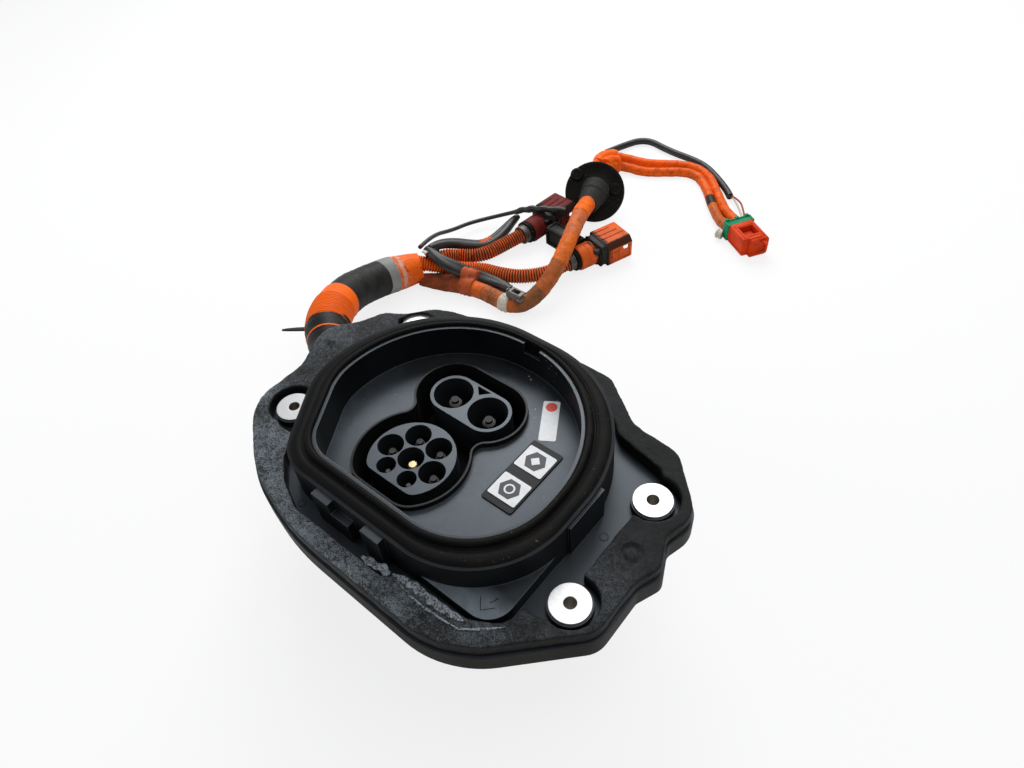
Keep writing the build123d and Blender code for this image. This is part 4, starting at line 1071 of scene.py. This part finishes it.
def makeTrunkTie():
    # cable tie under the tape near the outlet, with its pointed tail standing out
    shape = {"far": 0.098, "radius": 0.0148, "width": 0.004, "thick": 0.0009, "reach": (0.012, 0.037), "turn": 8}
    profile = [
        (shape["radius"], -shape["width"] / 2), (shape["radius"] + shape["thick"], -shape["width"] / 2),
        (shape["radius"] + shape["thick"], shape["width"] / 2), (shape["radius"], shape["width"] / 2),
    ]
    ring = spun("trunkTie", profile, 56)
    near, far = shape["reach"]
    tail = block("tieTail", (near, -0.0008, -0.0022), (far, 0.0008, 0.0022))
    for share, size in ((0.55, 0.85), (0.85, 0.6), (1.0, 0.2)):
        spot = near + (far - near) * share
        low = (spot, 0, -0.0008 * share)
        if share < 1.0:
            edit(tail, everything, lambda: bpy.ops.mesh.bisect(plane_co=(spot, 0, 0), plane_no=(1, 0, 0)))
        edit(tail, lambda vertex: abs(vertex.co.x - spot) < 0.0001,
             lambda: bpy.ops.transform.resize(value=(1, 1, size), center_override=low), "VERT")
    soften(tail, 0.0003, 1)
    tie = join("trunkTie", ring, tail)
    spot = tracks["trunk"].at(shape["far"])
    heading = tracks["trunk"].heading(shape["far"])
    side = Vector((0, 0, 1)).cross(heading).normalized()
    across = upon(side, heading.cross(side), heading) @ turnedTo((0, 0, 0), shape["turn"])
    return dress(tie, "bracket", at=Matrix.Translation(spot) @ across)


trunkTie = makeTrunkTie()


leadTag = block("leadTag", (-0.1965, 0.1965, 0.0325), (-0.1915, 0.2, 0.0337), 0.0005)
dress(leadTag, "ivory")
print("tapes and ties wrapped")

connectors = {
    "orange": {"origin": (-0.0976, 0.28, 0.012), "turn": 70.7, "paint": "orange", "slot": "orange_plastic"},
    "red": {"origin": (-0.157, 0.288, 0.012), "turn": 84.0, "paint": "red", "slot": "red_plastic"},
}
connectorShape = {
    "height": 0.022, "collarHalf": 0.0135, "boxHalf": 0.0145, "barrelRadius": 0.011,
    "barrel": (0.007, 0.026), "collar": (0.026, 0.032), "box": (0.032, 0.058),
    # in mm: how far along the barrel, and how much its radius is less there
    "barrelSteps": ((0, 1.3), (0.8, 0.2), (2, 0), (7.5, 0), (7.9, 0.4), (8.7, 0.4), (9.1, 0), (15.5, 0),
                    (16.5, 0.3), (19, 0.5)),
}


def makeConnector(prefix, facts):
    shape = connectorShape
    spot = turnedTo(facts["origin"], facts["turn"])
    lift = shape["height"] / 2 - facts["origin"][2]
    low, high = -facts["origin"][2], shape["height"] - facts["origin"][2]
    clamp = spun(prefix + "Clamp", [
        (0.0066, -0.003), (0.0082, -0.003), (0.0086, -0.0026), (0.0086, -0.0012), (0.0081, -0.0008),
        (0.0081, 0.0008), (0.0086, 0.0012), (0.0086, 0.0026), (0.0082, 0.003), (0.0066, 0.003)])
    dress(clamp, "clip", prefix + "_clamp_ring", at=spot @ zToX)
    seal = turned(prefix + "Seal", [
        (0.003, 0.0098), (0.0033, 0.0104), (0.0043, 0.0104), (0.0046, 0.0097), (0.0054, 0.0097),
        (0.0057, 0.0104), (0.0067, 0.0104), (0.007, 0.0098)])
    dress(seal, "grommet", prefix + "_seal_ring", at=spot @ zToX)
    start, end = shape["barrel"]
    barrel = turned(prefix + "Barrel", [
        (start + far / 1000, shape["barrelRadius"] - less / 1000) for far, less in shape["barrelSteps"]], 64)
    window = (start + 0.0092, start + 0.0154)
    edit(barrel, lambda f: window[0] < f.calc_center_median().z < window[1] and f.normal.x < -0.86
         and abs(f.calc_center_median().y) < 0.0045, panel(0.0008, x=0.0009))
    raised = Matrix.Translation((0, 0, lift)) @ zToX
    dress(barrel, facts["paint"], prefix + "_barrel", at=spot @ raised)
    start, end = shape["collar"]
    half = shape["collarHalf"]
    collar = block(prefix + "Collar", (start, -half, low), (end, half, high))
    edit(collar, alongX, rounded(0.0044, 5), "EDGE")
    edit(collar, lambda f: abs(f.normal.x) < 0.3, lambda: bpy.ops.mesh.inset(thickness=0.0014, depth=-0.0009))
    strap = turned(prefix + "Strap", [(start - 0.0016, 0.0117), (start - 0.0012, 0.0123), (start + 0.0004, 0.0123)])
    place(strap, raised)
    lug = block(prefix + "Lug", (start - 0.006, -0.0115, high - 0.0062), (start + 0.001, -0.0062, high - 0.0022),
                0.0009)
    soften(collar, 0.0005)
    collar = join(prefix + "Collar", collar, strap, lug)
    dress(collar, "bracket", prefix + "_collar", at=spot)
    start, end = shape["box"]
    half = shape["boxHalf"]
    box = block(prefix + "Box", (start, -half, low), (end, half, high))
    edit(box, lambda e: alongX(e) and e.verts[0].co.z > 0 and e.verts[0].co.y < 0, rounded(0.0042, 1), "EDGE")
    edit(box, lambda e: alongX(e) and (e.verts[0].co.z < 0 or e.verts[0].co.y > 0.01), rounded(0.0022, 2), "EDGE")
    edit(box, facing(0, 1.0, end - 0.0005), panel(0.0022, x=-0.021))
    edit(box, facing(1, -1.0, half - 0.0005), panel(0.0022, y=0.0008))
    soften(box, 0.0006, 2)
    cutOut(box, block("cutter", (end - 0.0092, -half - 0.001, lift - 0.0008),
                      (end - 0.003, -half + 0.0045, lift + 0.0046)))
    # a plain frame of bars on the side and ridges on top
    bars = []
    for near, far, bottom, top in ((4.5, 6.2, -5.8, 5.2), (12.5, 14.2, -5.8, 5.2), (6.2, 12.5, -1.2, 0.8)):
        bars.append(block("bar", (start + near / 1000, -half + 0.0001, lift + bottom / 1000),
                          (start + far / 1000, -half + 0.0012, lift + top / 1000), 0.0003))
    for number, near in enumerate((-0.003, 0.003, 0.009)):
        bars.append(block("ridge", (start + 0.001, near, high - 0.0005),
                          (end - 0.001 - 0.004 * number, near + 0.0012, high + 0.0006), 0.0003))
    box = join(prefix + "Box", box, *bars)
    dress(box, facts["paint"], prefix + "_box", at=spot)
    return [clamp, seal, barrel, collar, box]


connectorPieces = {prefix: makeConnector(prefix, facts) for prefix, facts in connectors.items()}


def makeBracket():
    shape = {"centre": (-0.1215, 0.306), "turn": -9.0, "size": (0.037, 0.015, 0.018)}
    length, depth, height = shape["size"]
    piece = block("connectorBracket", (-length / 2, -depth / 2, 0), (length / 2, depth / 2, height))
    edit(piece, lambda e: alongX(e) and e.verts[0].co.z > height / 2, rounded(0.003, 2), "EDGE")
    edit(piece, facing(2), panel(0.0022, z=-0.0012))
    edit(piece, facing(1, -1.0, depth / 2 - 0.0005), panel(0.0025, y=0.0015))
    soften(piece, 0.0005)
    spot = turnedTo((*shape["centre"], 0), shape["turn"])
    return dress(piece, "bracket", "connector_bracket", at=spot)


bracket = makeBracket()


def makeGrommet():
    shape = {
        "centre": (-0.1323, 0.3679, 0.0225), "normal": (0.43, -0.65, 0.61), "neck": (0.3, -0.954, -0.01),
        "knobs": ((-0.017, 0.016), (0.0195, 0.002)),
    }
    normal = Vector(shape["normal"]).normalized()
    across = Vector((0, 0, 1)).cross(normal).normalized()
    over = normal.cross(across)
    plane = Matrix.Translation(shape["centre"]) @ upon(across, over, normal)
    disc = turned("grommet", [
        (-0.002, 0.0255), (-0.002, 0.0274), (-0.001, 0.0282), (0.0012, 0.0282), (0.0022, 0.0275), (0.0024, 0.0262),
        (0.0019, 0.025), (0.0014, 0.02), (0.0014, 0.015), (0.002, 0.014)], 96)
    parts = [disc]
    for x, y in shape["knobs"]:
        knob = turned("knob", [
            (0.0, 0.0066), (0.0022, 0.0062), (0.0032, 0.0052), (0.0034, 0.0038), (0.0028, 0.003)], 32)
        parts.append(place(knob, Matrix.Translation((x, y, 0))))
    grommet = dress(join("grommet", *parts), "grommet", "grommet", at=plane)
    heading = Vector(shape["neck"])
    neck = turned("grommetNeck", [
        (-0.004, 0.014), (0.001, 0.0138), (0.0026, 0.013), (0.007, 0.0127), (0.0082, 0.0116), (0.011, 0.0112),
        (0.016, 0.0108), (0.0176, 0.01), (0.0225, 0.0097), (0.0236, 0.0088)], 56)
    return grommet, dress(neck, "neck", at=aimed(shape["centre"], heading))


grommet, grommetNeck = makeGrommet()


def makeClip():
    # sprung metal clip: a folded strip with a slot, gripping the feed cable
    shape = {"centre": (-0.1034, 0.2123, 0.01835), "size": (0.015, 0.009, 0.0075), "sheet": 0.0009}
    length, depth, height = [part / 2 for part in shape["size"]]
    piece = block("cableClip", (-length, -depth, -height), (length, depth, height))
    edit(piece, alongX, rounded(0.0018, 4), "EDGE")
    edit(piece, lambda f: abs(f.normal.x) > 0.9, lambda: bpy.ops.mesh.delete(type="FACE"))
    apply(piece, "SOLIDIFY", thickness=shape["sheet"], offset=-1.0)
    cutOut(piece, block("cutter", (-0.0035, -0.0021, 0.0), (0.004, 0.0021, 0.006)))
    cutOut(piece, block("cutter", (0.0028, -0.006, -0.0014), (0.0085, 0.006, 0.0016)))
    for side in (-1, 1):
        lip = block("lip", (-length - 0.0001, side * 0.0022 - 0.0016, height - 0.001),
                    (-length + 0.0012, side * 0.0022 + 0.0016, height + 0.0012))
        piece = join("cableClip", piece, lip)
    soften(piece, 0.00025, 1)
    return dress(piece, "clip", "cable_clip", at=Matrix.Translation(shape["centre"]))


clip = makeClip()


def makePlug():
    shape = {
        "face": (0.002, 0.406), "turn": -33.0, "size": (0.028, 0.024, 0.018), "stopper": (-0.0135, 0.3975, 0.0042),
    }
    length, width, height = shape["size"]
    spot = turnedTo((*shape["face"], 0), shape["turn"])
    body = block("plugBody", (0, -width / 2, 0), (length, width / 2, height))
    edit(body, alongX, rounded(0.0026, 2), "EDGE")
    edit(body, facing(0, 1.0, length - 0.0005), panel(0.0024, x=-0.0022))
    edit(body, facing(1, -1.0, width / 2 - 0.0005), panel(0.0026, y=0.0006))
    soften(body, 0.0005)
    cutOut(body, block("cutter", (length - 0.0045, -width / 2 - 0.001, -0.001),
                       (length + 0.001, -0.0052, height + 0.001)))
    cutOut(body, block("cutter", (0.0065, -0.0068, height - 0.005), (0.019, 0.0068, height + 0.001)))
    bridge = block("bridge", (0.02, -0.0062, height - 0.0018), (0.0255, 0.0062, height + 0.0006))
    edit(bridge, facing(2), panel(0.0012, z=-0.0005))
    rail = block("rail", (0.0022, -0.0096, height - 0.0014), (0.0056, 0.0096, height + 0.0004))
    latch = block("latch", (length - 0.002, 0.004, height - 0.005), (length + 0.0062, 0.0095, height - 0.002))
    edit(latch, facing(0),
         lambda: bpy.ops.transform.resize(value=(1, 0.4, 0.5), center_override=(length, 0.006, height - 0.002)))
    ribs = [block("rib", (0.004, y - 0.0007, height - 0.0004), (0.0245, y + 0.0007, height + 0.0007))
            for y in (-0.0085, 0.0085)]
    for part in (bridge, rail, latch, *ribs):
        soften(part, 0.0003)
    body = join("plugBody", body, bridge, rail, latch, *ribs)
    dress(body, "plugOrange", "plug_body", at=spot)
    # painted shade: a darker copy of the plug plastic laid as a sheet in the well
    well = block("plugWellShade", (0.0066, -0.0067, height - 0.0062), (0.0189, 0.0067, height - 0.0049))
    edit(well, facing(2), panel(0.0016, z=-0.0006))
    dress(well, "plugShade", at=spot)
    slab = block("plugLockSlab", (-0.0085, -0.0132, 0.0015), (0, 0.0132, 0.0178))
    edit(slab, facing(0, -1.0, 0.008), panel(0.0018, x=0.0022))
    edit(slab, facing(2, 1.0, 0.0175), panel(0.0016, z=-0.0008))
    soften(slab, 0.0005)
    teeth = [block("tooth", (-0.01, y - 0.0016, 0.0125), (-0.007, y + 0.0016, 0.0186), 0.0004)
             for y in (-0.01, 0.0, 0.01)]
    slab = join("plugLockSlab", slab, *teeth)
    dress(slab, "green", "plug_lock_slab", at=spot)
    stopper = turned("whitePlug", [
        (-0.003, 0.0036), (-0.0026, 0.0042), (-0.0012, 0.0042), (-0.0009, 0.0037), (0.0006, 0.0037),
        (0.0009, 0.0042), (0.0026, 0.0042), (0.003, 0.0036), (0.0031, 0.0018), (0.0012, 0.0015)], 32)
    dress(stopper, "ivory", "white_plug", at=Matrix.Translation(shape["stopper"]) @ zToX)
    return body, well, slab, stopper


plugPieces = makePlug()
for name, paint, points in (
    ("wireGrey", "ivory", ((-33.5, 458, 3.6), (-25.5, 450, 5), (-15, 436, 9.5), (-2, 418, 12))),
    ("wireRed", "wireRed", ((-33, 457, 4.5), (-23.5, 452, 6.5), (-12, 438, 10.5), (1, 417, 11))),
):
    thread(name, [[part / 1000 for part in point] for point in points], 0.0009, paint, "black_sleeve")
print("connectors built")


def cornerLine(corners, count):
    # closed line of an outline given as corners with fillet radii
    spots = []
    total = len(corners)
    for index, (x, y, radius) in enumerate(corners):
        here = Vector((x, y))
        before = (Vector(corners[index - 1][:2]) - here).normalized()
        after = (Vector(corners[(index + 1) % total][:2]) - here).normalized()
        half = before.angle(after) / 2
        reach = radius / math.tan(half)
        middle = here + (before + after).normalized() * (radius / math.sin(half))
        first = here + before * reach - middle
        last = here + after * reach - middle
        swing = first.angle_signed(last)
        for step in range(count + 1):
            angle = -swing * step / count
            spots.append(middle + Vector((
                first.x * math.cos(angle) - first.y * math.sin(angle),
                first.x * math.sin(angle) + first.y * math.cos(angle))))
    return spots


def rayTo(line, centre, angle):
    # where a ray from the centre meets a closed line
    heading = Vector((math.cos(angle), math.sin(angle)))
    best = 0.0
    for first, second in zip(line, line[1:] + line[:1]):
        edge = second - first
        cross = heading.x * edge.y - heading.y * edge.x
        if abs(cross) < 1e-9:
            continue
        away = first - centre
        reach = (away.x * edge.y - away.y * edge.x) / cross
        share = (away.x * heading.y - away.y * heading.x) / cross
        if reach > 0 and -1e-6 <= share <= 1 + 1e-6:
            best = max(best, reach)
    return centre + heading * best


# in mm: corners and their radii, and the section as shares from the inner to the outer line and heights
sealShape = {
    "inner": ((-66.7, 95.2, 74.2), (89.2, 95.2, 77.2), (89.2, -37.2, 49.2), (-38.9, -37.2, 25.2),
              (-66.7, 9.2, 39.2)),
    "outer": ((-77.8, 101.3, 81.3), (100.3, 101.3, 76.3), (100.3, -47.6, 54.3), (-44.1, -47.6, 27.3),
              (-77.8, 4.2, 47.3)),
    "centre": (8.0, 30.0),
    "profile": (
        (0.0, 112.0), (0.0, 119.2), (0.02, 120.6), (0.06, 121.3), (0.12, 121.6), (0.2, 121.6), (0.27, 121.3),
        (0.31, 120.7), (0.33, 119.8), (0.345, 118.9), (0.37, 118.4), (0.42, 118.3), (0.45, 118.5), (0.47, 118.9),
        (0.5, 119.0), (0.55, 118.6), (0.6, 119.0), (0.78, 119.0), (0.9, 118.8), (0.96, 118.5), (1.0, 118.2),
        (1.04, 117.9), (1.08, 117.6), (1.0, 117.0), (1.0, 112.0)),
}


def makeSeal():
    # the seal's section runs from the rim to the shoulder, at many angles round the bowl
    count = 220
    centre = Vector([part / 1000 for part in sealShape["centre"]])
    lines = []
    for side in ("inner", "outer"):
        corners = [tuple(part / 1000 for part in corner) for corner in sealShape[side]]
        lines.append(cornerLine(corners, 24))
    piece = fresh(bpy.ops.mesh.primitive_circle_add, "rimSeal", vertices=count, radius=0.08, fill_type="NOTHING")
    bpy.ops.object.mode_set(mode="EDIT")
    bpy.ops.mesh.select_all(action="SELECT")
    for share in sealShape["profile"][1:]:
        bpy.ops.mesh.extrude_edges_move(TRANSFORM_OT_translate={"value": (0, 0, 0.001)})
    bpy.ops.object.mode_set(mode="OBJECT")
    ends = []
    for step in range(count):
        angle = fullTurn * step / count
        ends.append([rayTo(line, centre, angle) for line in lines])
    rings = len(sealShape["profile"])
    for index, vertex in enumerate(piece.data.vertices):
        row, step = divmod(index, count)
        share, height = sealShape["profile"][row]
        spot = ends[step][0].lerp(ends[step][1], share)
        wobble = noise.noise(Vector((spot.x, spot.y, 0)) * 60) * 0.0002
        vertex.co = (spot.x, spot.y, height / 1000 + (wobble if 0 < row < rings - 1 else 0.0))
    edit(piece, lambda edge: edge.is_boundary, lambda: bpy.ops.mesh.bridge_edge_loops(), "EDGE")
    edit(piece, everything, lambda: bpy.ops.mesh.normals_make_consistent(inside=False))
    return dress(piece, "seal", "rim_seal", angle=60)


seal = makeSeal()


def copyNode(node, name):
    piece = nodes[node].copy()
    piece.data = nodes[node].data.copy()
    piece.name = name
    piece.parent = None
    for key in list(piece.keys()):
        del piece[key]
    scene.collection.objects.link(piece)
    edit(piece, everything, lambda: bpy.ops.mesh.remove_doubles(threshold=0.00001))
    return piece


foamShape = {
    "voxel": 0.001, "smoothing": 18, "lump": 0.0008, "lumpSize": 0.011, "grain": 0.00035, "grainSize": 0.0017,
    "dimple": (0.131, 0.023, 0.0045), "bump": (-0.106, 0.035, 0.006), "swelling": (-0.11, 0.045, 0.018, 0.0042),
    "flap": (-0.0765, 0.0842, 0.0055), "flapHeading": (-0.58, 0.81), "flapReach": 0.024,
    "topFrom": 0.0975, "sideFrom": 0.094, "sideHeight": 0.007,
}


def upSide(spot):
    # 0 where the side of the foam begins, 1 near its top
    return (spot.z - foamShape["sideFrom"]) / foamShape["sideHeight"]


def makeFoam():
    piece = copyNode("foam_gasket", "foamGasket")
    apply(piece, "REMESH", mode="VOXEL", voxel_size=foamShape["voxel"])
    apply(piece, "SMOOTH", factor=0.5, iterations=foamShape["smoothing"])
    for part in ("lump", "grain"):
        texture = bpy.data.textures.new("foam" + part, "CLOUDS")
        texture.noise_scale = foamShape[part + "Size"]
        texture.noise_depth = 1
        apply(piece, "DISPLACE", texture=texture, texture_coords="LOCAL", strength=foamShape[part], mid_level=0.6)
    dx, dy, dr = foamShape["dimple"]
    bx, by, br = foamShape["bump"]
    sx, sy, sr, rise = foamShape["swelling"]
    fx, fy, over = foamShape["flap"]
    heading = Vector(foamShape["flapHeading"])
    for vertex in piece.data.vertices:
        spot = vertex.co
        if spot.z > foamShape["topFrom"]:
            away = math.hypot(spot.x - dx, spot.y - dy)
            if away < 2.2 * dr:
                spot.z -= 0.0016 * math.exp(-((away - dr) / 0.0012) ** 2) + 0.0004 * math.exp(-(away / 0.002) ** 2)
            away = math.hypot(spot.x - bx, (spot.y - by) * 1.5)
            if away < 2 * br:
                spot.z += 0.0012 * math.exp(-(away / (0.6 * br)) ** 2)
        if upSide(spot) > 0:
            away = math.hypot(spot.x - sx, spot.y - sy)
            spot.z += rise * math.exp(-(away / sr) ** 2) * upSide(spot)
            across = Vector((spot.x - fx, spot.y - fy))
            back = across.dot(heading)
            inside = foamShape["flapReach"] - across.length
            if inside > 0 and back > 0:
                pull = over * min(1.0, back / 0.008) * min(1.0, inside / 0.01) * upSide(spot)
                spot.xy -= heading * pull
    dress(piece, "foam", "foam_gasket", angle=80)
    return piece


foam = makeFoam()
print("foam gasket shaped:", len(foam.data.polygons), "faces")


def ribbon(name, width, ragged, height, seed, points):
    # thin torn strip that follows a few points on the foam
    line = [Vector(point) / 1000 for point in points]
    piece = fresh(bpy.ops.mesh.primitive_grid_add, name, x_subdivisions=90, y_subdivisions=3, size=1)
    lengths = [0.0]
    for before, after in zip(line, line[1:]):
        lengths.append(lengths[-1] + (after - before).length)
    for vertex in piece.data.vertices:
        share = vertex.co.x + 0.5
        across = vertex.co.y * 2
        want = share * lengths[-1]
        index = 1
        while index < len(lengths) - 1 and lengths[index] < want:
            index += 1
        part = (want - lengths[index - 1]) / (lengths[index] - lengths[index - 1])
        spot = line[index - 1].lerp(line[index], part)
        heading = (line[index] - line[index - 1]).normalized()
        side = Vector((-heading.y, heading.x))
        wave = noise.noise((want * 260, across, seed))
        half = width / 2 * (1 + 0.35 * noise.noise((want * 70, 0, seed))) + ragged * wave
        half *= min(1.0, 6 * share, 6 * (1 - share)) ** 0.5
        spot = spot + side * across * half
        lift = height + 0.0003 * noise.noise((want * 150, across * 2, seed + 3))
        vertex.co = (spot.x, spot.y, lift)
    apply(piece, "SOLIDIFY", thickness=0.0004, offset=0.0)
    return dress(piece, "film", angle=60)


ribbon("filmStripInner", 0.0042, 0.0012, 0.1014, 1.0, (
    (44, -57.5), (51.1, -56.2), (59.4, -55.6), (68.3, -55.7), (76.9, -55.7), (83.4, -55), (88.5, -54.2)))
ribbon("filmStripOuter", 0.001, 0.0004, 0.1012, 5.0, (
    (50, -59), (59.7, -60.4), (68.8, -60.7), (79.1, -59.8), (88.9, -58.6), (94.6, -54.5), (100.7, -49.5),
    (106.4, -44.1)))
ribbon("filmTuft", 0.0046, 0.0016, 0.1012, 9.0, ((24, -60), (33, -59), (43, -57.8)))


labelShape = {
    "centre": (0.0575, 0.0285), "shift": 0.0113, "top": 0.0993, "hexagon": 0.0066, "turn": 30, "film": 0.00012,
    "disc": (0.0402, 0.0772, 0.09815),
}


def makePrints():
    # a plain hexagon on each tile, one with a ring and one with a diamond in it
    shape = labelShape
    for name, side in (("lower", -1), ("upper", 1)):
        x, y = shape["centre"][0], shape["centre"][1] + side * shape["shift"]
        plate = turned(name + "Hexagon", [(0.0, shape["hexagon"]), (shape["film"], shape["hexagon"])], 6)
        dress(plate, "ink", angle=30, at=turnedTo((x, y, shape["top"]), shape["turn"]))
        if name == "lower":
            mark = spun(name + "Mark", [(0.0022, 0.0), (0.0032, 0.0), (0.0032, 0.0001), (0.0022, 0.0001)], 32)
        else:
            mark = turned(name + "Mark", [(0.0, 0.0032), (0.0001, 0.0032)], 4)
        above = Matrix.Translation((x, y, shape["top"] + shape["film"]))
        dress(mark, "white", at=above)
    disc = turned("stickerDisc", [(0.0, 0.0034), (0.00008, 0.0034)], 32)
    dress(disc, "redInk", at=Matrix.Translation(shape["disc"]))


makePrints()


def makePlateMarks():
    # small moulded rings on the plate, and the thin engraved mark on the platform drawn as dark bars: painted shade
    # of its groove
    for number, (x, y) in enumerate(((0.112, 0.027), (-0.033, -0.055))):
        ring = spun(f"plateRing{number}", [(0.0019, 0.0), (0.0026, 0.0), (0.0026, 0.0003), (0.0019, 0.0003)], 32)
        dress(ring, "housing", at=Matrix.Translation((x, y, 0.0919)))
    lines = (((0.0865, -0.0398), (0.091, -0.0452)), ((0.091, -0.0452), (0.0961, -0.04)),
             ((0.0922, -0.0397), (0.0944, -0.0354)), ((0.0944, -0.0354), (0.093, -0.0366)))
    for number, (first, second) in enumerate(lines):
        way = Vector(second) - Vector(first)
        bar = block(f"platformMarkShade{number}", (0, -0.00018, 0), (way.length, 0.00018, 0.0001))
        soften(bar, 0.00004, 1)
        spot = turnedTo((*first, 0.10098), math.degrees(math.atan2(way.y, way.x)))
        dress(bar, "bracket", at=spot)


makePlateMarks()
print("socket details added")

# paints of the CAD nodes that stay
kept = {
    "housing": ("inlet_housing",),
    "shell": ("socket_shell", "contact_retainer"),
    "island": ("ac_contact_carrier", "dc_contact_carrier"),
    "labelPad": ("label_pad",),
    "white": ("label_tiles", "sticker"),
    "rear": ("rear_cover", "lock_housing", "lock_cover", "lock_bolt"),
    "seal": ("rear_seal", "cable_gland"),
    "steel": ("cover_screws", "lock_motor", "lock_spindle"),
    "silver": ("pin_ac_1", "pin_ac_2", "pin_ac_3", "pin_ac_4", "pin_dc_left", "pin_dc_right", "pin_signal_left",
               "pin_signal_right"),
    "brass": ("pin_earth",),
    "cap": ("ac_touch_caps", "dc_touch_caps"),
    "aluminium": ("mounting_sleeve_1", "mounting_sleeve_2", "mounting_sleeve_3", "mounting_sleeve_4"),
}
for paint, names in kept.items():
    for name in names:
        nodes[name].data.materials.clear()
        nodes[name].data.materials.append(paints[paint])
floor = fresh(bpy.ops.mesh.primitive_plane_add, "floor", size=6.0, location=(0, 0, cadLow.z))
floor.data.materials.append(paintFloor())

print("scene complete")
